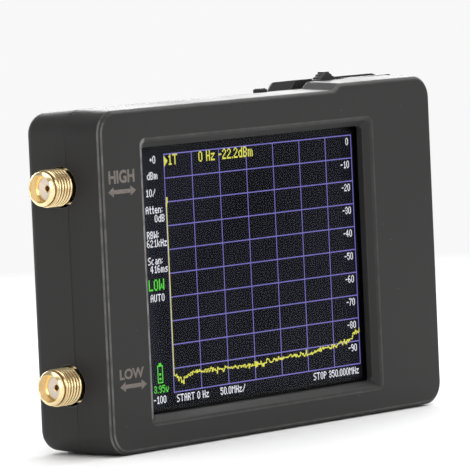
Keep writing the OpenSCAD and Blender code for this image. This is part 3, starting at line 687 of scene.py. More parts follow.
# The shell's worn colour is also the colour of the painted highlight lines on its left rim and left
# window lip.
SHELL = MouldedPlastic("shell_matt", (0.0295, 0.0289, 0.0284), (0.25, 0.243, 0.236), rough=0.5,
                       gloss=0.2)
CONTROL = MouldedPlastic("control_nylon", (0.016, 0.016, 0.017), (0.07, 0.068, 0.066),
                         rough=0.42, grain=0.2, depth=0.006)
WHITE_RESIN = MouldedPlastic("white_fluoropolymer", (0.95, 0.88, 0.85), (0.95, 0.9, 0.88),
                             rough=0.42, grain=0.5, depth=0.004, wear_and_highlight=0.2, dusty=0.0)
IVORY = MouldedPlastic("ivory_moulding", (0.66, 0.61, 0.50), (0.8, 0.76, 0.66), rough=0.45,
                       grain=0.2, depth=0.004, wear_and_highlight=0.3, dusty=0.1)
NYLON = MouldedPlastic("white_nylon", (0.80, 0.78, 0.72), (0.9, 0.88, 0.84), rough=0.4, grain=0.2,
                       depth=0.004, wear_and_highlight=0.3, dusty=0.1)
TRAY = MouldedPlastic("backlight_tray", (0.72, 0.72, 0.70), (0.85, 0.85, 0.83), rough=0.35,
                      grain=0.4, depth=0.003, wear_and_highlight=0.3, dusty=0.1)
RED_LEAD = MouldedPlastic("red_insulation", (0.42, 0.02, 0.012), (0.5, 0.06, 0.05), rough=0.35,
                          grain=0.3, depth=0.003, wear_and_highlight=0.0, dusty=0.15)
BLACK_LEAD = MouldedPlastic("black_insulation", (0.014, 0.014, 0.015), (0.05, 0.05, 0.05),
                            rough=0.35, grain=0.3, depth=0.003, wear_and_highlight=0.0, dusty=0.2)
CERAMIC = MouldedPlastic("fired_ceramic", (0.34, 0.24, 0.15), (0.6, 0.58, 0.55), rough=0.5,
                         grain=0.1, depth=0.003, wear_and_highlight=0.9, dusty=0.0)
# The gold's last colour is painted shade in its thread grooves.
GOLD = Metal("gold_plate", (1.0, 0.83, 0.48), (0.96, 0.73, 0.38), rough=0.22, depth=0.0006,
             groove_shade=(0.24, 0.11, 0.03))
CONTACT_GOLD = Metal("contact_gold", (1.0, 0.78, 0.46), (0.82, 0.57, 0.27), rough=0.32)
NICKEL = Metal("nickel_plate", (0.62, 0.61, 0.58), (0.42, 0.41, 0.39), rough=0.24,
               marks=(0.5, 0.5, 6.0))
TINNED = Metal("tinned_sheet", (0.66, 0.66, 0.65), (0.46, 0.46, 0.46), rough=0.32,
               marks=(0.25, 3.0, 3.0), depth=0.003)
BRIGHT_STEEL = Metal("bright_steel", (0.60, 0.59, 0.58), (0.44, 0.43, 0.42), rough=0.2)
BLACK_ZINC = Metal("black_zinc", (0.065, 0.064, 0.066), (0.035, 0.034, 0.035), rough=0.3,
                   marks=(4.0, 4.0, 4.0))
GASKET_FOAM = Foam("gasket_foam", (0.022, 0.022, 0.024))
TAPE_FOAM = Foam("tape_foam", (0.035, 0.035, 0.036))
PAD_FOAM = Foam("pad_foam", (0.62, 0.58, 0.46), 0.5)
CLEAR = ClearPanel("touch_panel_clear", (0.93, 0.94, 0.95))
DISPLAY_BLACK = DarkGlass("display_glass", (0.006, 0.006, 0.008))
# Its glow colour lights the backlight clouds and paints the reflection strip along the left edge.
PICTURE_GROUND = BacklightWithPaintedReflection("picture_ground", (0.0040, 0.0040, 0.0065), (0.016, 0.017, 0.025),
                          -31.0, 57.6)
GRID_VIOLET = Lit("lit_grid", (0.235, 0.205, 0.66))
TEXT_WHITE = Lit("lit_white", (0.93, 0.93, 1.0))
TRACE_YELLOW = Lit("lit_yellow", (0.83, 0.80, 0.11))
STATE_GREEN = Lit("lit_green", (0.12, 0.76, 0.06))
PRINT_INK = Ink("pad_print", (0.20, 0.17, 0.15), (0.07, 0.064, 0.06))
BOARD_GREEN = SolderMask("board_mask", (0.012, 0.085, 0.032), (0.02, 0.15, 0.055))
CHIP = Package("chip_package", (0.018, 0.018, 0.019))
FERRITE = Package("coil_ferrite", (0.075, 0.075, 0.08))
POUCH = CreasedFoil("pouch_foil", (0.60, 0.61, 0.63))
FLEX = CopperFilm("flex_film", (0.42, 0.20, 0.05), (0.62, 0.34, 0.10))


# Mesh building


class Form:
    """A mesh under construction, in millimetres."""

    def __init__(self) -> None:
        """Starts an empty mesh with its edge mask."""
        self.bm = bmesh.new()
        self.mask = self.bm.loops.layers.float.new(EDGE)

    @classmethod
    def of_node(cls, node: str, flat: float = 0.2) -> "Form":
        """Copies a CAD node and joins its loose triangles.

        Args:
            node: Name of the node.
            flat: Angle in degrees up to which neighbouring faces are made one.

        Returns:
            The copy.
        """
        form = cls()
        form.bm.from_mesh(bpy.data.objects[node].data)
        for layer in list(form.bm.loops.layers.uv):
            form.bm.loops.layers.uv.remove(layer)
        form.mask = form.bm.loops.layers.float.get(EDGE) or form.bm.loops.layers.float.new(EDGE)
        bmesh.ops.scale(form.bm, vec=(1 / MM,) * 3, verts=form.bm.verts)
        bmesh.ops.remove_doubles(form.bm, verts=form.bm.verts, dist=0.0008)
        bmesh.ops.dissolve_limit(form.bm, angle_limit=math.radians(flat), verts=form.bm.verts,
                                 edges=form.bm.edges)
        return form

    def box(self, low: Place, high: Place) -> list[bmesh.types.BMVert]:
        """Adds a box between two corners and gives its vertices."""
        size = Vector(high) - Vector(low)
        place = Matrix.Translation((Vector(low) + Vector(high)) / 2) @ Matrix.Diagonal(
            (*size, 1.0))
        return bmesh.ops.create_cube(self.bm, size=1.0, matrix=place)["verts"]

    def prism(self, outline: Sequence[Point], plane: Plane, start: float,
              end: float) -> list[bmesh.types.BMFace]:
        """Adds an outline that is extruded from start to end.

        Args:
            outline: The corners, in order.
            plane: The plane of the outline.
            start: Depth of the first face.
            end: Depth of the last face.

        Returns:
            Every face of the prism.
        """
        face = self.bm.faces.new([self.bm.verts.new(plane.at(u, v, start)) for u, v in outline])
        made = bmesh.ops.extrude_face_region(self.bm, geom=[face], use_keep_orig=True)["geom"]
        moved = [g for g in made if isinstance(g, bmesh.types.BMVert)]
        bmesh.ops.translate(self.bm, vec=plane.at(0.0, 0.0, end - start), verts=moved)
        faces = {f for v in (*moved, *face.verts) for f in v.link_faces}
        bmesh.ops.recalc_face_normals(self.bm, faces=list(faces))
        return list(faces)

    def lathe(self, outline: Sequence[Point], centre: Place, along: Vector,
              steps: int = 72) -> None:
        """Spins a closed outline round an axis.

        Args:
            outline: Distance along the axis against radius, closed by itself.
            centre: Where the distance is 0, on the axis.
            along: Unit vector of the axis.
            steps: Steps of the full turn.
        """
        start = Vector(centre)
        out = along.orthogonal().normalized()
        verts = [self.bm.verts.new(start + along * a + out * r) for a, r in outline]
        edges = [self.bm.edges.new((verts[i - 1], verts[i])) for i in range(len(verts))
                 if outline[i - 1][1] > 1e-6 or outline[i][1] > 1e-6]
        before = set(self.bm.faces)
        bmesh.ops.spin(self.bm, geom=verts + edges, cent=start, axis=along, steps=steps,
                       angle=math.tau, use_merge=True)
        made = [f for f in self.bm.faces if f not in before]
        corners = list({v for f in made for v in f.verts})
        bmesh.ops.remove_doubles(self.bm, verts=corners, dist=0.0005)
        made = [f for f in self.bm.faces if f.is_valid and f not in before]
        bmesh.ops.recalc_face_normals(self.bm, faces=made)

    def soften(self, width: float, segments: int = 2, above: float = 28.0,
               where: Optional[Callable[[Vector], bool]] = None, clamp: bool = True) -> None:
        """Rounds the sharp edges and marks the new faces in the edge mask.

        Args:
            width: Width of the rounding.
            segments: Faces across it.
            above: Smallest angle of an edge that is rounded, in degrees.
            where: Test for both ends of an edge. All edges are taken without it.
            clamp: Whether the width is limited so that roundings don't cross.
        """
        least = math.radians(above)
        edges = [e for e in self.bm.edges
                 if len(e.link_faces) == 2 and e.calc_face_angle(0.0) > least
                 and (where is None or all(where(v.co) for v in e.verts))]
        self.mark(self.bevel(edges, width, segments, clamp))

    def mark(self, faces: Iterable[bmesh.types.BMFace], value: float = 1.0) -> None:
        """Sets the edge mask of some faces."""
        for face in faces:
            for loop in face.loops:
                loop[self.mask] = value

    def absorb(self, other: bmesh.types.BMesh) -> None:
        """Adds another mesh under construction, which is used up.

        Args:
            other: The mesh, in millimetres.
        """
        mesh = bpy.data.meshes.new("absorbed")
        other.to_mesh(mesh)
        other.free()
        self.bm.from_mesh(mesh)
        bpy.data.meshes.remove(mesh)
        self.mask = self.bm.loops.layers.float.get(EDGE)

    def bevel(self, edges: Sequence[bmesh.types.BMEdge], width: float, segments: int,
              clamp: bool = False) -> list[bmesh.types.BMFace]:
        """Bevels edges and gives the new faces.

        Args:
            edges: The edges.
            width: Width on the faces beside them.
            segments: Faces across the bevel.
            clamp: Whether the width is limited so that bevels don't cross.

        Returns:
            The faces of the bevel.
        """
        made = bmesh.ops.bevel(self.bm, geom=list(edges), offset=width, offset_type="OFFSET",
                               segments=segments, profile=0.5, affect="EDGES",
                               clamp_overlap=clamp, material=-1)
        return made["faces"]


class Bench:
    """Puts finished forms into the scene, on their bodies."""

    @staticmethod
    def place(name: str, form: Form, finish: Finish, slot: str, body: Body = Body.CASE,
              replaces: Iterable[str] = (), crease: float = 32.0,
              weighted: bool = True) -> bpy.types.Object:
        """Makes an object of a form and fastens it to its body.

        Args:
            name: Name of the piece.
            form: Its mesh, in millimetres. It is used up.
            finish: Its finish.
            slot: The record's material slot that it belongs to. Not used.
            body: The body that it rides on.
            replaces: The CAD nodes that it stands for.
            crease: Angle in degrees above which an edge stays sharp.
            weighted: Whether large faces set the normals at rounded edges.

        Returns:
            The object.
        """
        bmesh.ops.scale(form.bm, vec=(MM,) * 3, verts=form.bm.verts)
        mesh = bpy.data.meshes.new(name)
        form.bm.to_mesh(mesh)
        form.bm.free()
        mesh.materials.append(finish.material())
        mesh.shade_smooth()
        mesh.set_sharp_from_angle(angle=math.radians(crease))
        piece = bpy.data.objects.new(name, mesh)
        bpy.context.scene.collection.objects.link(piece)
        if weighted:
            Bench.weigh(piece)
        Bench.fasten(piece, slot, body, replaces)
        return piece

    @staticmethod
    def weigh(piece: bpy.types.Object) -> None:
        """Bakes area-weighted normals into a piece.

        Args:
            piece: The piece, whose mesh is replaced.
        """
        modifier = piece.modifiers.new("weighted", "WEIGHTED_NORMAL")
        modifier.keep_sharp = True
        modifier.weight = 60
        graph = bpy.context.evaluated_depsgraph_get()
        baked = bpy.data.meshes.new_from_object(piece.evaluated_get(graph),
                                                preserve_all_data_layers=True, depsgraph=graph)
        old = piece.data
        piece.modifiers.clear()
        piece.data = baked
        bpy.data.meshes.remove(old)
        baked.name = piece.name

    @staticmethod
    def fasten(piece: bpy.types.Object, slot: str, body: Body,
               replaces: Iterable[str] = ()) -> None:
        """Rides a piece on a body and reports it.

        Args:
            piece: The piece.
            slot: The record's material slot. Not used.
            body: The body.
            replaces: The CAD nodes that it stands for.
        """
        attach(piece, body.value)
        nodes = tuple(replaces)
        if nodes:
            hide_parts(*nodes)
        LOG.info("%s on %s: %d faces%s", piece.name, body.value, len(piece.data.polygons),
                 ", for " + ", ".join(nodes) if nodes else "")

    @staticmethod
    def dress(node: str, finish: Finish) -> None:
        """Gives a carried-over CAD node its finish."""
        mesh = bpy.data.objects[node].data
        mesh.materials.clear()
        mesh.materials.append(finish.material())
        LOG.info("%s kept, in %s", node, finish.name)

    @staticmethod
    def softened(node: str, finish: Finish, slot: str, width: float, body: Body = Body.CASE,
                 segments: int = 2) -> bpy.types.Object:
        """Replaces a CAD node by a copy with rounded edges.

        Args:
            node: Name of the node.
            finish: The finish.
            slot: The record's material slot. Not used.
            width: Width of the rounding.
            body: The body that it rides on.
            segments: Faces across the rounding.

        Returns:
            The copy.
        """
        form = Form.of_node(node)
        form.soften(width, segments)
        return Bench.place(node + "_finished", form, finish, slot, body, [node])


# Sub-assemblies


@dataclass
class Case:
    """The two shells, with the chamfers and small radii that the mould leaves on their edges."""

    face_y: float = -8.55
    rim_r: float = 0.7
    rim_cut: float = 0.021
    rim_chamfer: float = 0.49
    rim_radius: float = 0.2
    window_low: Point = (-33.4, 6.0)
    window_high: Point = (26.75, 51.3)
    window_bevel: float = 1.3
    window_corner: float = 0.75
    window_lip: float = 0.45
    wall: float = 2.0
    back_wall: float = 1.8
    board_gap: float = 0.35
    radius: float = 0.12
    seam_y: float = -1.15
    seam_groove: float = 0.15
    seam_left: float = 0.04
    # Edge-mask values of the window lip: a painted highlight line on the left lip, and on the others
    # a faint paler line that is part wear and part painted highlight.
    painted_highlight_lip: float = 2.0
    plain_lip: float = 0.8
    # Shares of the edge mask kept in the window, on the top and elsewhere off the left side; the
    # left side keeps the full mask as painted highlight lines.
    window_wear: float = 0.15
    top_wear: float = 0.25
    plain_wear: float = 0.5

    def __post_init__(self) -> None:
        """Takes the limits of the inner faces from the frame."""
        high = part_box("rear_shell")[1] / MM
        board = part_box("main_board")[1] / MM
        self.inner_half = high.x - self.wall - 0.05
        self.inner_low = self.wall + 0.05
        self.inner_high = board.z + self.board_gap - 0.05
        self.face_inner_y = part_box("display_gasket")[0].y / MM - 0.05
        self.back_inner_y = high.y - self.back_wall + 0.05

    def at_side(self, at: Vector) -> bool:
        """Tells whether a point is on the outer wall of the case."""
        return abs(at.x) > self.inner_half or at.z < self.inner_low or at.z > self.inner_high

    def outside(self, at: Vector) -> bool:
        """Tells whether a point is on the outside of the case or in its window, off the seam."""
        return (self.at_side(at) and abs(at.y - self.seam_y) > 0.05
                or at.y < self.face_inner_y or at.y > self.back_inner_y)

    def in_window(self, at: Vector) -> bool:
        """Tells whether a point is on the wall or the bevel of the window."""
        reach = self.window_bevel + 0.1
        return (self.window_low[0] - reach < at.x < self.window_high[0] + reach
                and self.window_low[1] - reach < at.z < self.window_high[1] + reach
                and at.y < self.face_inner_y + 0.1)

    def square_rim(self, form: Form) -> None:
        """Draws the rounded front rim out to a sharp edge.

        Args:
            form: The front shell.
        """
        form.bm.normal_update()
        moves = []
        for v in form.bm.verts:
            depth = v.co.y - self.face_y + self.rim_cut
            if depth > self.rim_r + 0.01 or not self.at_side(v.co):
                continue
            rest = max(self.rim_r ** 2 - (self.rim_r - depth) ** 2, 0.0)
            out = Vector((v.normal.x, 0.0, v.normal.z)).normalized()
            moves.append((v, out * (self.rim_r - math.sqrt(rest))))
        for v, move in moves:
            v.co += move
            v.co.y = self.face_y
        bmesh.ops.remove_doubles(form.bm, verts=[v for v, _ in moves], dist=0.08)

    def chamfer_rim(self, form: Form) -> None:
        """Cuts the chamfer of the front rim and rounds its two edges.

        Args:
            form: The front shell.
        """
        edges = [e for e in form.bm.edges
                 if all(v.co.y < self.face_y + 0.01 and self.at_side(v.co) for v in e.verts)
                 and len(e.link_faces) == 2 and e.calc_face_angle(0.0) > 1.0]
        form.bevel(edges, self.rim_chamfer, 1)
        form.bm.normal_update()
        edges = [e for e in form.bm.edges
                 if all(v.co.y < self.face_y + self.rim_r and self.at_side(v.co) for v in e.verts)
                 and abs(e.verts[0].co.y - e.verts[1].co.y) < 0.01
                 and len(e.link_faces) == 2 and e.calc_face_angle(0.0) > 0.5]
        # The marked roundings pale into painted highlight lines on the left side and into faint wear
        # elsewhere.
        form.mark(form.bevel(edges, self.rim_radius, 3))

    def shape_window(self, form: Form) -> None:
        """Rounds the corners of the window and the lip of its bevel, and marks the lip: a painted
        highlight line on the left, a faint paler line on the others.

        Args:
            form: The front shell.
        """
        corners = [e for e in form.bm.edges
                   if all(self.in_window(v.co) for v in e.verts)
                   and abs(e.verts[0].co.y - e.verts[1].co.y) > 0.5 * e.calc_length()]
        form.bevel(corners, self.window_corner, 4)
        lip = [e for e in form.bm.edges
               if all(self.in_window(v.co) and v.co.y < self.face_y + 0.01 for v in e.verts)
               and len(e.link_faces) == 2 and e.calc_face_angle(0.0) > 0.5]
        for face in form.bevel(lip, self.window_lip, 4):
            centre = face.calc_center_median()
            at_left = centre.x < self.window_low[0] and centre.z > self.window_low[1]
            # The left lip gets the painted highlight line; the others a faint line, part wear and
            # part painted highlight.
            form.mark([face], self.painted_highlight_lip if at_left else self.plain_lip)

    def close_seam(self, form: Form) -> None:
        """Fills most of the groove along the seam, so that a fine line stays.

        Args:
            form: One of the shells.
        """
        form.bm.normal_update()
        moves: dict[bmesh.types.BMVert, Vector] = {}
        for face in form.bm.faces:
            if not 0.3 < abs(face.normal.y) < 0.9:
                continue
            if any(abs(v.co.y - self.seam_y) > self.seam_groove + 0.02 for v in face.verts):
                continue
            out = Vector((face.normal.x, 0.0, face.normal.z)).normalized()
            for v in face.verts:
                if abs(v.co.y - self.seam_y) < 0.01:
                    moves[v] = moves.get(v, Vector()) + out
        for v, out in moves.items():
            v.co += out.normalized() * (self.seam_groove - self.seam_left)
        form.bm.normal_update()

    def fade_wear_keep_left_highlight(self, form: Form) -> None:
        """Fades the edge mask to lighter wear in the window, on the top and away from the left side,
        and keeps it full on the left side, where the pale rim lines are painted highlights. Marks
        above 1, the left lip's painted highlight, stay as they are.

        Args:
            form: One of the shells.
        """
        for face in form.bm.faces:
            for loop in face.loops:
                at = loop.vert.co
                if not 0.0 < loop[form.mask] <= 1.0:
                    continue
                if self.in_window(at):
                    loop[form.mask] *= self.window_wear
                elif at.z > self.inner_high:
                    loop[form.mask] *= self.top_wear
                elif at.x > -self.inner_half:
                    loop[form.mask] *= self.plain_wear

    def build(self) -> None:
        """Makes both shells."""
        front = Form.of_node("front_shell")
        self.square_rim(front)
        self.chamfer_rim(front)
        self.shape_window(front)
        rear = Form.of_node("rear_shell")
        for name, form in (("front_shell", front), ("rear_shell", rear)):
            self.close_seam(form)
            form.soften(self.radius, 2, 38.0, self.outside, clamp=False)
            self.fade_wear_keep_left_highlight(form)
            Bench.place(name + "_finished", form, SHELL, "shell", replaces=[name])


@dataclass
class CaseScrews:
    """Pan head screws with a cross recess and a cut thread."""

    spots_x: float = 41.5
    spots_z: tuple[float, float] = (4.15, 54.25)
    head_y: float = 6.95
    head_r: float = 1.75
    head_h: float = 1.2
    shank_r: float = 1.0
    shank_l: float = 10.0
    pitch: float = 0.45
    cross_w: float = 0.45

    def build(self) -> None:
        """Makes the four screws as one piece."""
        form = Form()
        for x in (-self.spots_x, self.spots_x):
            for z in self.spots_z:
                self.screw(form, x, z)
        piece = Bench.place("case_screws_finished", form, BLACK_ZINC, "screw_black",
                            replaces=["case_screws"], weighted=False)
        self.recess(piece)

    def screw(self, form: Form, x: float, z: float) -> None:
        """Adds one screw that points forwards from its head.

        Args:
            form: The form that takes it.
            x: Place of its axis.
            z: Height of its axis.
        """
        crown = [(self.head_h - 0.42 * (1 - math.cos(t)), self.head_r * math.sin(t))
                 for t in (math.radians(a) for a in (0, 18, 36, 54, 70, 84))]
        root = self.shank_r * 0.8
        turns = int((self.shank_l - 1.2) / self.pitch)
        thread = [p for i in range(turns) for p in
                  ((-1.0 - i * self.pitch, root), (-1.0 - (i + 0.5) * self.pitch, self.shank_r))]
        outline = [*crown, (0.25, self.head_r), (0.0, self.head_r - 0.12), (0.0, self.shank_r),
                   (-0.8, self.shank_r), *thread, (-self.shank_l + 0.15, root), (-self.shank_l, 0.6),
                   (-self.shank_l, 0.0)]
        form.lathe(outline, (x, self.head_y, z), Vector((0, 1, 0)), 40)

    def recess(self, piece: bpy.types.Object) -> None:
        """Cuts the tapered cross out of each head.

        Args:
            piece: The screws, whose mesh is replaced.
        """
        cutter = Form()
        for x in (-self.spots_x, self.spots_x):
            for z in self.spots_z:
                for turn in (0.0, 90.0):
                    verts = cutter.box((x - 1.1, self.head_y + 0.42, z - self.cross_w / 2),
                                       (x + 1.1, self.head_y + self.head_h + 1.0,
                                        z + self.cross_w / 2))
                    for v in verts:
                        if v.co.y < self.head_y + 0.5:
                            v.co.x = x + (v.co.x - x) * 0.45
                            v.co.z = z + (v.co.z - z) * 0.6
                    bmesh.ops.rotate(cutter.bm, cent=(x, 0, z), verts=verts,
                                     matrix=Matrix.Rotation(math.radians(turn), 3, "Y"))
        bmesh.ops.scale(cutter.bm, vec=(MM,) * 3, verts=cutter.bm.verts)
        mesh = bpy.data.meshes.new("cross_cutter")
        cutter.bm.to_mesh(mesh)
        cutter.bm.free()
        tool = bpy.data.objects.new("cross_cutter", mesh)
        bpy.context.scene.collection.objects.link(tool)
        cut = piece.modifiers.new("cross", "BOOLEAN")
        cut.object = tool
        cut.operation = "DIFFERENCE"
        cut.solver = "EXACT"
        cut.use_self = True
        Bench.weigh(piece)
        bpy.data.objects.remove(tool)
        bpy.data.meshes.remove(mesh)


GLYPHS: dict[str, tuple[str, ...]] = {
    "0": (".##.", "#..#", "#..#", "#..#", "#..#", "#..#", ".##."),
    "1": ("..#.", ".##.", "..#.", "..#.", "..#.", "..#.", ".###"),
    "2": (".##.", "#..#", "...#", "..#.", ".#..", "#...", "####"),
    "3": (".##.", "#..#", "...#", ".##.", "...#", "#..#", ".##."),
    "4": ("..#.", ".##.", "#.#.", "#.#.", "####", "..#.", "..#."),
    "5": ("####", "#...", "###.", "...#", "...#", "#..#", ".##."),
    "6": (".##.", "#...", "#...", "###.", "#..#", "#..#", ".##."),
    "7": ("####", "...#", "..#.", "..#.", ".#..", ".#..", ".#.."),
    "8": (".##.", "#..#", "#..#", ".##.", "#..#", "#..#", ".##."),
    "9": (".##.", "#..#", "#..#", ".###", "...#", "...#", ".##."),
    "+": ("...", "...", ".#.", "###", ".#.", "...", "..."),
    "-": ("...", "...", "...", "###", "...", "...", "..."),
    ".": (".", ".", ".", ".", ".", ".", "#"),
    ":": (".", ".", "#", ".", ".", "#", "."),
    "/": ("...#", "...#", "..#.", "..#.", ".#..", "#...", "#..."),
    " ": ("..", "..", "..", "..", "..", "..", ".."),
    "A": (".##.", "#..#", "#..#", "####", "#..#", "#..#", "#..#"),
    "B": ("###.", "#..#", "#..#", "###.", "#..#", "#..#", "###."),
    "H": ("#..#", "#..#", "#..#", "####", "#..#", "#..#", "#..#"),
    "L": ("#...", "#...", "#...", "#...", "#...", "#...", "####"),
    "M": ("#...#", "##.##", "#.#.#", "#...#", "#...#", "#...#", "#...#"),
    "O": (".##.", "#..#", "#..#", "#..#", "#..#", "#..#", ".##."),
    "P": ("###.", "#..#", "#..#", "###.", "#...", "#...", "#..."),
    "R": ("###.", "#..#", "#..#", "###.", "#.#.", "#..#", "#..#"),
    "S": (".###", "#...", "#...", ".##.", "...#", "...#", "###."),
    "T": ("#####", "..#..", "..#..", "..#..", "..#..", "..#..", "..#.."),
    "U": ("#..#", "#..#", "#..#", "#..#", "#..#", "#..#", ".##."),
    "W": ("#...#", "#...#", "#...#", "#.#.#", "#.#.#", "##.##", "#...#"),
    "a": ("....", "....", ".##.", "...#", ".###", "#..#", ".###"),
    "c": ("....", "....", ".##.", "#...", "#...", "#...", ".##."),
    "d": ("...#", "...#", ".###", "#..#", "#..#", "#..#", ".###"),
    "e": ("....", "....", ".##.", "#..#", "####", "#...", ".###"),
    "k": ("#...", "#...", "#..#", "#.#.", "##..", "#.#.", "#..#"),
    "m": (".....", ".....", "##.#.", "#.#.#", "#.#.#", "#.#.#", "#.#.#"),
    "n": ("....", "....", "###.", "#..#", "#..#", "#..#", "#..#"),
    "s": ("....", "....", ".###", "#...", ".##.", "...#", "###."),
    "t": (".#.", ".#.", "###", ".#.", ".#.", ".#.", ".##"),
    "v": ("....", "....", "#..#", "#..#", "#..#", ".##.", ".##."),
    "z": ("....", "....", "####", "..#.", ".#..", "#...", "####"),
}


# Each readout: its text, column and row, and whether it ends at the column
READOUTS: tuple[tuple[str, float, float, bool], ...] = (
    ("+0", 14, 3, False),
    ("dBm", 9, 18, False),
    ("10/", 6, 34, False),
    ("Atten:", 5, 50, False),
    ("0dB", 31.5, 58.4, True),
    ("RBW:", 5.2, 73.6, False),
    ("621kHz", 4.6, 81.6, False),
    ("Scan:", 5, 98, False),
    ("416ms", 8.2, 106, False),
    ("AUTO", 6.4, 133, False),
    ("-100", 4.3, 229, False),
    ("START 0 Hz", 38, 230, False),
    ("50.0MHz/", 102.5, 230, False),
    ("STOP 350.000MHz", 315.5, 230, True),
)


@dataclass
class Picture:
    """The lit picture: a measuring grid, a noise trace, scale numbers and readouts.

    Columns run to the right from the left edge and rows run down from the top edge, in dots.
    """

    left: float = -30.95
    top: float = 50.12
    dot: float = 0.1808
    columns: int = 320
    rows: int = 240
    ground_y: float = -4.66
    lines_y: float = -4.67
    marks_y: float = -4.68
    grid_left: int = 34
    grid_right: int = 318
    grid_top: int = 2
    grid_bottom: int = 227
    cells_x: int = 7
    cells_z: int = 10
    bleed: float = 0.05
    peak_row: float = 43.0
    noise_seed: int = 20
    noise_size: float = 0.06
    quiet_steps: int = 3
    floor_line: tuple[Point, ...] = ((0.0, 0.7), (0.02, 0.62), (0.04, 0.4), (0.06, 0.5),
                                     (0.09, 0.68), (0.25, 0.68), (0.4, 0.61), (0.57, 0.71),
                                     (0.72, 0.77), (0.86, 0.91), (0.95, 1.08), (0.965, 1.31),
                                     (1.0, 1.42))

    def run(self, form: Form, y: float, column: float, row: float, wide: float,
            high: float) -> None:
        """Adds one flat rectangle of dots.

        Args:
            form: The form that takes it.
            y: Depth of the layer.
            column: Left column.
            row: Top row.
            wide: Dots across.
            high: Dots down.
        """
        centre = Vector((self.left + (column + wide / 2) * self.dot, y,
                         self.top - (row + high / 2) * self.dot))
        place = (Matrix.Translation(centre) @ Matrix.Rotation(math.pi / 2, 4, "X")
                 @ Matrix.Diagonal((wide * self.dot, high * self.dot, 1.0, 1.0)))
        bmesh.ops.create_grid(form.bm, x_segments=1, y_segments=1, size=0.5, matrix=place)

    def words(self, form: Form, text: str, column: float, row: float, scale: float = 1.0,
              align_right: bool = False) -> None:
        """Adds a line of dot letters.

        Args:
            form: The form that takes it.
            text: The letters.
            column: Left column, or right column if align_right is set.
            row: Top row.
            scale: Size of one dot of the letters, in dots of the picture.
            align_right: Whether the text ends at the column.
        """
        width = sum((len(GLYPHS[c][0]) + 1) * scale for c in text) - scale
        x = column - width if align_right else column
        for letter in text:
            glyph = GLYPHS[letter]
            for down, line in enumerate(glyph):
                start = 0
                while start < len(line):
                    if line[start] != "#":
                        start += 1
                        continue
                    end = start
                    while end < len(line) and line[end] == "#":
                        end += 1
                    self.run(form, self.marks_y, x + start * scale - self.bleed,
                             row + down * scale - self.bleed,
                             (end - start) * scale + 2 * self.bleed, scale + 2 * self.bleed)
                    start = end
            x += (len(glyph[0]) + 1) * scale

    def level(self, t: float) -> float:
        """Gives the mean level of the noise floor, in divisions above the bottom.

        Args:
            t: Place along the sweep, from 0 to 1.

        Returns:
            The level.
        """
        for (t0, h0), (t1, h1) in zip(self.floor_line, self.floor_line[1:]):
            if t <= t1:
                return h0 + (h1 - h0) * (t - t0) / (t1 - t0)
        return self.floor_line[-1][1]

    def trace(self, form: Form) -> None:
        """Adds the trace: the carrier at zero, its fall, and the noise floor.

        Args:
            form: The form that takes it.
        """
        noise = random.Random(self.noise_seed)
        cell = (self.grid_bottom - self.grid_top) / self.cells_z
        span = self.grid_right - self.grid_left
        heights = []
        for i in range(span + 1):
            t = i / span
            jitter = noise.gauss(0.0, self.noise_size) if i > self.quiet_steps else 0.0
            heights.append(self.grid_bottom - cell * (self.level(t) + jitter))
        peak = self.peak_row
        self.run(form, self.marks_y, self.grid_left + 1.2, peak, 2.2, 6)
        self.run(form, self.marks_y, self.grid_left + 0.5, peak + 5, 1.8, 4)
        self.run(form, self.marks_y, self.grid_left + 0.8, peak + 8, 1.2, heights[0] - peak - 8)
        for i in range(1, span + 1):
            low, high = sorted((heights[i - 1], heights[i]))
            self.run(form, self.marks_y, self.grid_left + i, low - 0.4, 1.05, high - low + 0.9)

    def grid(self, form: Form) -> None:
        """Adds the lines of the measuring grid.

        Args:
            form: The form that takes it.
        """
        wide = self.grid_right - self.grid_left
        high = self.grid_bottom - self.grid_top
        for i in range(self.cells_x + 1):
            self.run(form, self.lines_y, self.grid_left + wide * i / self.cells_x, self.grid_top,
                     1.0, high + 1)
        for i in range(self.cells_z + 1):
            self.run(form, self.lines_y, self.grid_left, self.grid_top + high * i / self.cells_z,
                     wide + 1, 1.0)

    def white(self, form: Form) -> None:
        """Adds the white readouts and the scale numbers.

        Args:
            form: The form that takes them.
        """
        cell = (self.grid_bottom - self.grid_top) / self.cells_z
        for label, column, row, align_right in READOUTS:
            self.words(form, label, column, row, align_right=align_right)
        for i in range(self.cells_z):
            self.words(form, f"-{i * 10}" if i else "0", 314, self.grid_top + i * cell + 3,
                       align_right=True)

    def yellow(self, form: Form) -> None:
        """Adds the marker with its readout."""
        for i in range(5):
            self.run(form, self.marks_y, 34.5 + i, 4.0 + i, 1.0, 10 - 2 * i)
        self.words(form, "1T", 40, 3, 1.42)
        self.words(form, "0 Hz -22.2dBm", 85.3, 3, 1.42)

    def green(self, form: Form) -> None:
        """Adds the port readout and the battery sign with its voltage.

        Args:
            form: The form that takes them.
        """
        self.words(form, "LOW", 4.4, 119, 1.5)
        self.run(form, self.marks_y, 13.6, 198, 3.6, 2)
        for column, row, wide, high in ((11.4, 200, 7.8, 1.2), (11.4, 215.8, 7.8, 1.2),
                                        (11.4, 200, 1.2, 17), (18.0, 200, 1.2, 17)):
            self.run(form, self.marks_y, column, row, wide, high)
        for row in (207.6, 212):
            self.run(form, self.marks_y, 13.8, row, 3.0, 2.0)
        self.words(form, "3.95v", 5.4, 219)

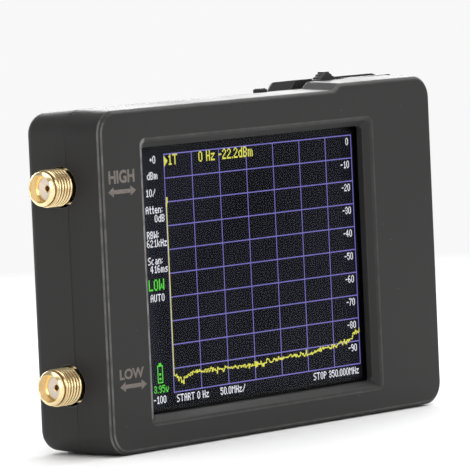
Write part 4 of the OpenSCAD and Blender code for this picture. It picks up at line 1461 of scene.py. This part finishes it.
    def build(self) -> None:
        """Makes the ground and the four lit layers."""
        layers: list[tuple[str, Finish, Callable[[Form], None]]] = [
            ("picture_ground", PICTURE_GROUND,
             lambda f: self.run(f, self.ground_y, 0, 0, self.columns, self.rows)),
            ("picture_grid", GRID_VIOLET, self.grid),
            ("picture_trace", TRACE_YELLOW, self.trace),
            ("picture_marker", TRACE_YELLOW, self.yellow),
            ("picture_readouts", TEXT_WHITE, self.white),
            ("picture_state", STATE_GREEN, self.green),
        ]
        for name, finish, draw in layers:
            form = Form()
            draw(form)
            Bench.place(name, form, finish, "display_glass", weighted=False)


@dataclass
class Display:
    """The display module behind the window."""

    low: Place = (-39.3, -5.85, 3.4)
    high: Place = (29.9, -4.71, 53.4)
    edge: float = 0.12

    def build(self) -> None:
        """Makes the touch panel and the picture, and dresses the rest."""
        panel = Form()
        panel.box(self.low, self.high)
        panel.soften(self.edge)
        Bench.place("touch_panel_clear", panel, CLEAR, "touch_glass", replaces=["touch_panel"])
        Picture().build()
        Bench.dress("display_gasket", GASKET_FOAM)
        Bench.dress("display_tape", TAPE_FOAM)
        Bench.dress("lcd_panel", DISPLAY_BLACK)
        Bench.dress("lcd_flex", FLEX)
        Bench.softened("lcd_backlight", TRAY, "backlight_white", 0.12)
        Bench.softened("flex_connector", IVORY, "connector_ivory", 0.1)


@dataclass
class FacePrints:
    """The port names and double arrows printed on the face."""

    y: float = -8.56
    stroke: float = 0.7
    head_l: float = 1.4
    head_h: float = 1.7
    weight: float = 0.035

    def arrow(self, form: Form, left: float, right: float, z: float) -> None:
        """Adds a double-headed arrow.

        Args:
            form: The form that takes it.
            left: Its left tip.
            right: Its right tip.
            z: Height of its middle.
        """
        half, s = self.head_h / 2, self.stroke / 2
        a, b = left + self.head_l, right - self.head_l
        outline = [(left, z), (a, z - half), (a, z - s), (b, z - s), (b, z - half), (right, z),
                   (b, z + half), (b, z + s), (a, z + s), (a, z + half)]
        form.prism(outline, Plane.FRONT, self.y, self.y + 0.015)

    def word(self, form: Form, text: str, left: float, right: float, low: float,
             high: float) -> None:
        """Adds a word that fills a rectangle.

        Args:
            form: The form that takes it.
            text: The word.
            left: Left side of the rectangle.
            right: Right side of the rectangle.
            low: Bottom of the rectangle.
            high: Top of the rectangle.
        """
        curve = bpy.data.curves.new("word", "FONT")
        curve.body = text
        curve.resolution_u = 4
        curve.offset = self.weight
        helper = bpy.data.objects.new("word", curve)
        bpy.context.scene.collection.objects.link(helper)
        graph = bpy.context.evaluated_depsgraph_get()
        flat = bpy.data.meshes.new_from_object(helper.evaluated_get(graph))
        bpy.data.objects.remove(helper)
        bpy.data.curves.remove(curve)
        start = len(form.bm.verts)
        form.bm.from_mesh(flat)
        bpy.data.meshes.remove(flat)
        form.bm.verts.ensure_lookup_table()
        verts = form.bm.verts[start:]
        x0, x1 = min(v.co.x for v in verts), max(v.co.x for v in verts)
        z0, z1 = min(v.co.y for v in verts), max(v.co.y for v in verts)
        for v in verts:
            v.co = Vector((left + (v.co.x - x0) / (x1 - x0) * (right - left), self.y,
                           low + (v.co.y - z0) / (z1 - z0) * (high - low)))

    def build(self) -> None:
        """Makes the prints as one piece."""
        form = Form()
        self.word(form, "HIGH", -43.5, -36.85, 45.85, 48.1)
        self.arrow(form, -43.75, -36.6, 44.48)
        self.word(form, "LOW", -42.95, -36.7, 12.9, 14.7)
        self.arrow(form, -42.95, -36.05, 11.7)
        form.mask = form.bm.loops.layers.float.get(EDGE)
        Bench.place("face_prints", form, PRINT_INK, "shell", weighted=False)


@dataclass
class CoaxialPort:
    """One threaded coaxial jack: body, insulator and slotted centre socket."""

    name: str
    z: float
    axis_y: float = 0.45
    mouth_x: float = -50.8
    nose_l: float = 0.7
    nose_r: float = 2.94
    cone_l: float = 0.49
    rim_r: float = 2.42
    mouth_r: float = 2.3
    mouth_depth: float = 1.95
    thread_r: float = 3.175
    thread_depth: float = 0.38
    pitch: float = 0.7056
    thread_start: float = 1.0
    thread_end: float = 5.177
    insulator_r: float = 2.05
    flange_x: float = -43.5
    flange_t: float = 1.7
    flange_half: float = 3.2
    leg_l: float = 3.4
    leg_t: float = 0.75
    leg_w: float = 1.0
    board_y: tuple[float, float] = (-0.35, 1.25)
    socket_r: float = 0.63
    bore_r: float = 0.48
    bore_l: float = 3.0
    slit: float = 0.13
    tail_r: float = 0.4
    tail_l: float = 2.4

    @property
    def axis(self) -> Place:
        """Gives the centre of the mouth."""
        return (self.mouth_x, self.axis_y, self.z)

    def barrel(self, form: Form) -> None:
        """Adds the smooth core with its bored mouth.

        Args:
            form: The body of the jack.
        """
        root = self.thread_r - self.thread_depth
        back = self.flange_x - self.mouth_x + 0.3
        form.lathe([(0.03, self.mouth_r), (0.0, self.mouth_r + 0.03), (0.0, self.rim_r - 0.03),
                    (0.03, self.rim_r + 0.01), (self.cone_l - 0.04, self.nose_r - 0.05),
                    (self.cone_l + 0.04, self.nose_r), (self.nose_l - 0.04, self.nose_r),
                    (self.nose_l + 0.02, self.nose_r - 0.05),
                    (self.thread_start, root - 0.02), (back, root - 0.02),
                    (back, self.insulator_r + 0.01), (self.mouth_depth, self.insulator_r + 0.01),
                    (self.mouth_depth, self.mouth_r)],
                   self.axis, Vector((1, 0, 0)), 96)

    def thread(self, form: Form) -> None:
        """Adds the right-handed thread as one continuous ridge with a lead-in.

        Args:
            form: The body of the jack.
        """
        root = self.thread_r - self.thread_depth
        steps = 72
        first = self.mouth_x + self.thread_start
        last = self.mouth_x + self.thread_end
        turns = math.ceil((last - first) / self.pitch) + 2
        start = first - self.pitch
        shape = [(0.0, 0.0), (0.06, 0.0), (0.34, 0.9), (0.39, 1.0), (0.61, 1.0), (0.66, 0.9),
                 (0.94, 0.0), (1.0, 0.0)]
        sleeve = bmesh.new()
        verts = [sleeve.verts.new((start + a * self.pitch, self.axis_y,
                                   self.z + root + h * self.thread_depth)) for a, h in shape]
        edges = [sleeve.edges.new(pair) for pair in zip(verts, verts[1:])]
        bmesh.ops.spin(sleeve, geom=verts + edges, cent=(start, self.axis_y, self.z),
                       axis=(1, 0, 0), dvec=(self.pitch / steps, 0, 0), angle=-math.tau * turns,
                       steps=steps * turns)
        bmesh.ops.remove_doubles(sleeve, verts=sleeve.verts, dist=0.002)
        for v in sleeve.verts:
            out = Vector((0, v.co.y - self.axis_y, v.co.z - self.z))
            limit = root + 0.1 + max(min(v.co.x - first, (last - v.co.x) * 1.5), 0.0)
            if out.length > limit:
                out = out.normalized() * limit
                v.co.y, v.co.z = self.axis_y + out.y, self.z + out.z
        for at, side in ((first, -1.0), (last, 1.0)):
            bmesh.ops.bisect_plane(sleeve, geom=[*sleeve.verts, *sleeve.edges, *sleeve.faces],
                                   dist=1e-5, plane_co=(at, 0, 0), plane_no=(side, 0, 0),
                                   clear_outer=True)
            rim = [e for e in sleeve.edges if e.is_boundary
                   and all(abs(v.co.x - at) < 1e-3 for v in e.verts)]
            drawn = bmesh.ops.extrude_edge_only(sleeve, edges=rim)["geom"]
            for v in (g for g in drawn if isinstance(g, bmesh.types.BMVert)):
                out = Vector((0, v.co.y - self.axis_y, v.co.z - self.z)).normalized()
                v.co.y = self.axis_y + out.y * (root - 0.15)
                v.co.z = self.z + out.z * (root - 0.15)
        bmesh.ops.recalc_face_normals(sleeve, faces=sleeve.faces)
        self.face_out(sleeve)
        form.absorb(sleeve)

    def mark_grooves(self, form: Form) -> None:
        """Marks how deep each corner lies in the thread, for the painted shade in its grooves.

        Args:
            form: The body of the jack.
        """
        root = self.thread_r - self.thread_depth
        for face in form.bm.faces:
            for loop in face.loops:
                at = loop.vert.co
                along = at.x - self.mouth_x
                high = math.hypot(at.y - self.axis_y, at.z - self.z) - root
                inside = self.nose_l + 0.1 < along < self.thread_end + 0.5 and high > -0.2
                depth = 1.0 - high / self.thread_depth
                loop[form.mask] = min(max(depth, 0.0), 1.0) if inside else 0.0

    def face_out(self, sleeve: bmesh.types.BMesh) -> None:
        """Turns the sleeve's faces away from the axis if they point at it."""
        total = sum(f.normal.dot(Vector((0, f.calc_center_median().y - self.axis_y,
                                         f.calc_center_median().z - self.z)))
                    for f in sleeve.faces)
        if total < 0:
            bmesh.ops.reverse_faces(sleeve, faces=sleeve.faces)

    def mounting(self, form: Form) -> None:
        """Adds the square flange and its four board legs.

        Args:
            form: The body of the jack.
        """
        back = self.flange_x + self.flange_t
        part = Form()
        part.box((self.flange_x, self.axis_y - self.flange_half, self.z - self.flange_half),
                 (back, self.axis_y + self.flange_half, self.z + self.flange_half))
        for side in (-1, 1):
            middle = self.z + side * (self.flange_half - self.leg_w / 2)
            for y in (self.board_y[0] - self.leg_t, self.board_y[1]):
                part.box((back - 0.3, y, middle - self.leg_w / 2),
                         (back + self.leg_l, y + self.leg_t, middle + self.leg_w / 2))
        part.soften(0.15)
        form.absorb(part.bm)

    def insulator(self, form: Form) -> None:
        """Adds the white sleeve round the centre socket.

        Args:
            form: The form that takes it.
        """
        long = self.flange_x + self.flange_t - self.mouth_x
        form.lathe([(self.mouth_depth, self.socket_r + 0.02),
                    (self.mouth_depth, self.insulator_r - 0.08),
                    (self.mouth_depth + 0.08, self.insulator_r),
                    (long, self.insulator_r), (long, self.socket_r + 0.02)],
                   self.axis, Vector((1, 0, 0)))

    def socket(self, form: Form) -> None:
        """Adds the centre socket with its four spring fingers, and its tail.

        Args:
            form: The form that takes it.
        """
        front = self.mouth_depth
        root = front + self.bore_l * 0.8
        back = self.flange_x + self.flange_t - self.mouth_x
        centre = Vector(self.axis)
        arc = math.pi / 2 - self.slit / self.socket_r
        for quarter in range(4):
            begin = quarter * math.pi / 2
            ring = Matrix.Rotation(begin, 4, "X")
            profile = [(front, self.bore_r), (front, self.socket_r - 0.02),
                       (front + 0.02, self.socket_r), (root, self.socket_r),
                       (root, self.bore_r)]
            verts = [form.bm.verts.new(centre + ring @ Vector((a, 0, r))) for a, r in profile]
            edges = [form.bm.edges.new((verts[i - 1], verts[i])) for i in range(len(verts))]
            bmesh.ops.spin(form.bm, geom=verts + edges, cent=centre, axis=(1, 0, 0), angle=arc,
                           steps=8)
        rims = [e for e in form.bm.edges if e.is_boundary]
        bmesh.ops.holes_fill(form.bm, edges=rims, sides=5)
        bmesh.ops.recalc_face_normals(form.bm, faces=form.bm.faces)
        form.lathe([(root, self.bore_r), (root, self.socket_r), (back, self.socket_r),
                    (back, self.tail_r), (back + self.tail_l - 0.1, self.tail_r),
                    (back + self.tail_l, self.tail_r - 0.1), (back + self.tail_l, 0.0),
                    (front + self.bore_l, 0.0), (front + self.bore_l, self.bore_r)],
                   self.axis, Vector((1, 0, 0)), 48)

    def build(self) -> None:
        """Makes the three pieces of the jack."""
        body = Form()
        self.barrel(body)
        self.thread(body)
        self.mounting(body)
        self.mark_grooves(body)
        Bench.place(f"{self.name}_jack_body", body, GOLD, "gold",
                    replaces=[f"{self.name}_sma_body"], crease=40.0)
        sleeve = Form()
        self.insulator(sleeve)
        Bench.place(f"{self.name}_jack_insulator", sleeve, WHITE_RESIN, "insulator",
                    replaces=[f"{self.name}_sma_dielectric"])
        centre = Form()
        self.socket(centre)
        Bench.place(f"{self.name}_jack_socket", centre, CONTACT_GOLD, "gold",
                    replaces=[f"{self.name}_sma_contact"])


@dataclass
class ChargingSocket:
    """The reversible charging socket in the top edge."""

    shell_edge: float = 0.09
    tongue_edge: float = 0.08

    def build(self) -> None:
        """Rounds the metal and the tongue, and dresses the contacts."""
        Bench.softened("usb_shell", NICKEL, "socket_steel", self.shell_edge)
        Bench.softened("usb_tongue", CHIP, "chip_black", self.tongue_edge)
        Bench.dress("usb_contacts", CONTACT_GOLD)


@dataclass
class PowerSwitch:
    """The slide switch with its ribbed knob."""

    knob_x: float = 8.4
    knob_half: float = 1.0
    front_y: float = -0.35
    back_y: float = 1.25
    top_z: float = 59.05
    carriage_h: float = 1.6
    rib_h: float = 0.14
    rib_pitch: float = 0.58
    rib_foot: float = 0.19
    rib_top: float = 0.12
    rib_root: float = 0.2
    rib_inset: float = 0.08
    edge: float = 0.07

    def knob(self) -> None:
        """Makes the slider: carriage, knob and the ribs on its top."""
        low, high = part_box("switch_slider")
        z0 = low.z / MM
        form = Form()
        form.box((self.knob_x - self.knob_half, self.front_y, z0),
                 (self.knob_x + self.knob_half, self.back_y, self.top_z - self.rib_h))
        form.box((low.x / MM, self.front_y, z0),
                 (high.x / MM, self.back_y, z0 + self.carriage_h))
        root = self.top_z - self.rib_h - self.rib_root
        for i in (-1, 0, 1):
            x = self.knob_x + i * self.rib_pitch
            form.prism([(x - self.rib_foot, root), (x + self.rib_foot, root),
                        (x + self.rib_top, self.top_z), (x - self.rib_top, self.top_z)],
                       Plane.FRONT, self.front_y + self.rib_inset, self.back_y - self.rib_inset)
        form.soften(self.edge)
        Bench.place("switch_knob", form, CONTROL, "control_black", Body.SLIDER,
                    ["switch_slider"])

    def build(self) -> None:
        """Makes the knob and finishes the housing and wiper."""
        self.knob()
        Bench.softened("switch_housing", NICKEL, "socket_steel", 0.08)
        Bench.dress("switch_wiper", CONTACT_GOLD)


@dataclass
class JogLever:
    """The thumb lever that rocks and presses, with its frame."""

    def build(self) -> None:
        """Rounds the lever, its frame and its plunger, and dresses the metal."""
        Bench.softened("jog_lever", CONTROL, "control_black", 0.06, Body.LEVER)
        Bench.softened("jog_plunger", CONTROL, "control_black", 0.06, Body.PLUNGER)
        Bench.softened("jog_frame", CONTROL, "control_black", 0.06)
        Bench.dress("jog_pin", BRIGHT_STEEL)
        Bench.dress("jog_dome", BRIGHT_STEEL)


@dataclass
class CircuitBoard:
    """The main board and what is soldered to it."""

    def build(self) -> None:
        """Dresses the board and rounds its parts."""
        Bench.dress("main_board", BOARD_GREEN)
        for node, finish, slot, width in (
                ("shield_frames", TINNED, "shield_steel", 0.05),
                ("shield_covers", TINNED, "shield_steel", 0.07),
                ("radio_chips", CHIP, "chip_black", 0.07),
                ("microcontroller", CHIP, "chip_black", 0.05),
                ("crystals", NICKEL, "crystal_metal", 0.15),
                ("power_chips", CHIP, "chip_black", 0.06),
                ("coils", FERRITE, "coil_grey", 0.2),
                ("board_passives", CERAMIC, "passive_tan", 0.06)):
            Bench.softened(node, finish, slot, width)


@dataclass
class BatteryPack:
    """The pouch cell, its pad, plug and leads."""

    def build(self) -> None:
        """Rounds the cell and the plug, and dresses the pad and leads."""
        Bench.softened("battery_cell", POUCH, "cell_foil", 0.5, segments=3)
        Bench.softened("battery_header", IVORY, "connector_ivory", 0.1)
        Bench.softened("battery_plug", NYLON, "plug_white", 0.1)
        Bench.dress("battery_pad", PAD_FOAM)
        Bench.dress("positive_lead", RED_LEAD)
        Bench.dress("negative_lead", BLACK_LEAD)


# Studio


# Each soft box: its name, middle, width and height, and power
SOFT_BOXES: tuple[tuple[str, Place, Point, float], ...] = (
    ("top_box", (-60, -40, 620), (700, 500), 2.4),
    ("front_box", (-200, -600, 300), (260, 420), 0.35),
    ("left_box", (-680, -520, 330), (200, 500), 1.6),
    ("back_box", (700, 600, 350), (900, 400), 8.5),
    ("rim_box", (600, -50, 560), (300, 300), 2.0),
)


@dataclass
class Studio:
    """Pale floor, soft lights and the camera."""

    camera_at: Place = (-730.72, -605.3, 95.83)
    target: Place = (-0.77, 0.0, 33.99)
    roll: float = -2.559
    lens: float = 417.74
    floor_r: float = 8000.0
    white: float = 0.94
    ambient: float = 0.45
    ceiling: float = 0.3
    floor_shade: float = 0.92
    floor_near: float = 110.0
    floor_far: float = 420.0
    wall_low: float = 0.12
    wall_high: float = 0.4
    sensor: float = 36.0
    clip: tuple[float, float] = (0.05, 30.0)

    def camera(self) -> None:
        """Sets the camera where the photograph was taken from."""
        at = Vector(self.camera_at) * MM
        forward = (Vector(self.target) * MM - at).normalized()
        right = forward.cross(Vector((0, 0, 1))).normalized()
        up = right.cross(forward)
        a = math.radians(self.roll)
        right, up = (right * math.cos(a) + up * math.sin(a),
                     up * math.cos(a) - right * math.sin(a))
        data = bpy.data.cameras.new("camera")
        data.lens = self.lens
        data.sensor_width = self.sensor
        data.clip_start, data.clip_end = self.clip
        camera = bpy.data.objects.new("camera", data)
        basis = Matrix((right, up, -forward)).transposed().to_4x4()
        camera.matrix_world = Matrix.Translation(at) @ basis
        bpy.context.scene.collection.objects.link(camera)
        bpy.context.scene.camera = camera

    def floor(self) -> None:
        """Makes the floor: lit near the object, plain white to the eye further off."""
        bm = bmesh.new()
        bmesh.ops.create_circle(bm, cap_ends=True, segments=96, radius=self.floor_r * MM)
        mesh = bpy.data.meshes.new("floor")
        bm.to_mesh(mesh)
        bm.free()
        floor = bpy.data.objects.new("floor", mesh)
        bpy.context.scene.collection.objects.link(floor)
        s = Shader("floor_pale")
        s.set("Base Color", (self.floor_shade,) * 3)
        s.set("Roughness", 0.9)
        s.set("Specular IOR Level", 0.1)
        glow = s.add("Emission")
        glow.inputs["Color"].default_value = (self.white, self.white, self.white, 1.0)
        reach = s.add("VectorMath", operation="LENGTH")
        s.wire(s.here, reach.inputs[0])
        far = s.spread(reach.outputs["Value"], self.floor_near, self.floor_far)
        blend = s.add("MixShader")
        s.wire(s.maths("MULTIPLY", far, self.seen(s)), blend.inputs[0])
        s.wire(s.surface.outputs[0], blend.inputs[1])
        s.wire(glow.outputs[0], blend.inputs[2])
        output = next(n for n in s.tree.nodes if n.type == "OUTPUT_MATERIAL")
        s.wire(blend.outputs[0], output.inputs["Surface"])
        mesh.materials.append(s.material)
        floor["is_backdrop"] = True

    @staticmethod
    def seen(nodes: Nodes) -> bpy.types.NodeSocket:
        """Gives 1 for rays from the camera, from reflections and through glass."""
        path = nodes.add("LightPath").outputs
        direct = nodes.maths("MAXIMUM", path["Is Camera Ray"], path["Is Glossy Ray"])
        return nodes.maths("MAXIMUM", direct, path["Is Transmission Ray"])

    def world(self) -> None:
        """Makes the world: white to the eye, a dark ceiling in reflections, and soft light."""
        world = bpy.data.worlds.new("studio")
        world.use_nodes = True
        bpy.context.scene.world = world
        nodes = Nodes(world.node_tree)
        world.node_tree.nodes.clear()
        background = nodes.add("Background")
        output = nodes.add("OutputWorld")
        across = nodes.add("SeparateXYZ")
        nodes.wire(nodes.add("TexCoord").outputs["Generated"], across.inputs[0])
        path = nodes.add("LightPath").outputs
        white = (self.white,) * 3
        wall = nodes.spread(across.outputs["Z"], self.wall_low, self.wall_high, 1.0, 0.0)
        seen = nodes.mix(wall, (self.ceiling,) * 3, white)
        mirrored = nodes.maths("MAXIMUM", path["Is Glossy Ray"], path["Is Transmission Ray"])
        light = nodes.mix(mirrored, (self.ambient,) * 3, seen)
        nodes.wire(nodes.mix(path["Is Camera Ray"], light, white), background.inputs["Color"])
        nodes.wire(background.outputs[0], output.inputs["Surface"])

    def lamp(self, name: str, at: Place, size: Point, power: float, aim: Place = (0, 0, 30)) -> None:
        """Adds a soft box.

        Args:
            name: Its name.
            at: Its middle.
            size: Width and height.
            power: Power in watts.
            aim: The point that it faces.
        """
        data = bpy.data.lights.new(name, "AREA")
        data.shape = "RECTANGLE"
        data.size, data.size_y = (s * MM for s in size)
        data.energy = power
        lamp = bpy.data.objects.new(name, data)
        lamp.visible_camera = False
        place = Vector(at) * MM
        lamp.location = place
        lamp.rotation_mode = "QUATERNION"
        lamp.rotation_quaternion = (Vector(aim) * MM - place).to_track_quat("-Z", "Y")
        bpy.context.scene.collection.objects.link(lamp)

    def build(self) -> None:
        """Sets up the whole studio."""
        self.camera()
        self.floor()
        self.world()
        for name, at, size, power in SOFT_BOXES:
            self.lamp(name, at, size, power)
        scene = bpy.context.scene
        scene.view_settings.view_transform = "Standard"
        LOG.info("studio ready")


def main() -> dict[str, list[list[float]]]:
    """Loads the frame, builds every sub-assembly and the studio.

    Returns:
        The CAD box and the visual model's box.
    """
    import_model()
    boxes = {"cad": [list(corner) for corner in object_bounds()]}
    for part in (Case(), CaseScrews(), Display(), FacePrints(), CoaxialPort("upper", 45.55),
                 CoaxialPort("lower", 12.05), ChargingSocket(), PowerSwitch(), JogLever(),
                 CircuitBoard(), BatteryPack(), Studio()):
        LOG.info("building %s", type(part).__name__)
        part.build()
    bpy.context.view_layer.update()
    boxes["visual"] = [list(corner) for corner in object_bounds()]
    return boxes


if __name__ == "__main__":
    logging.basicConfig(level=logging.INFO, format="%(name)s: %(message)s")
    main()
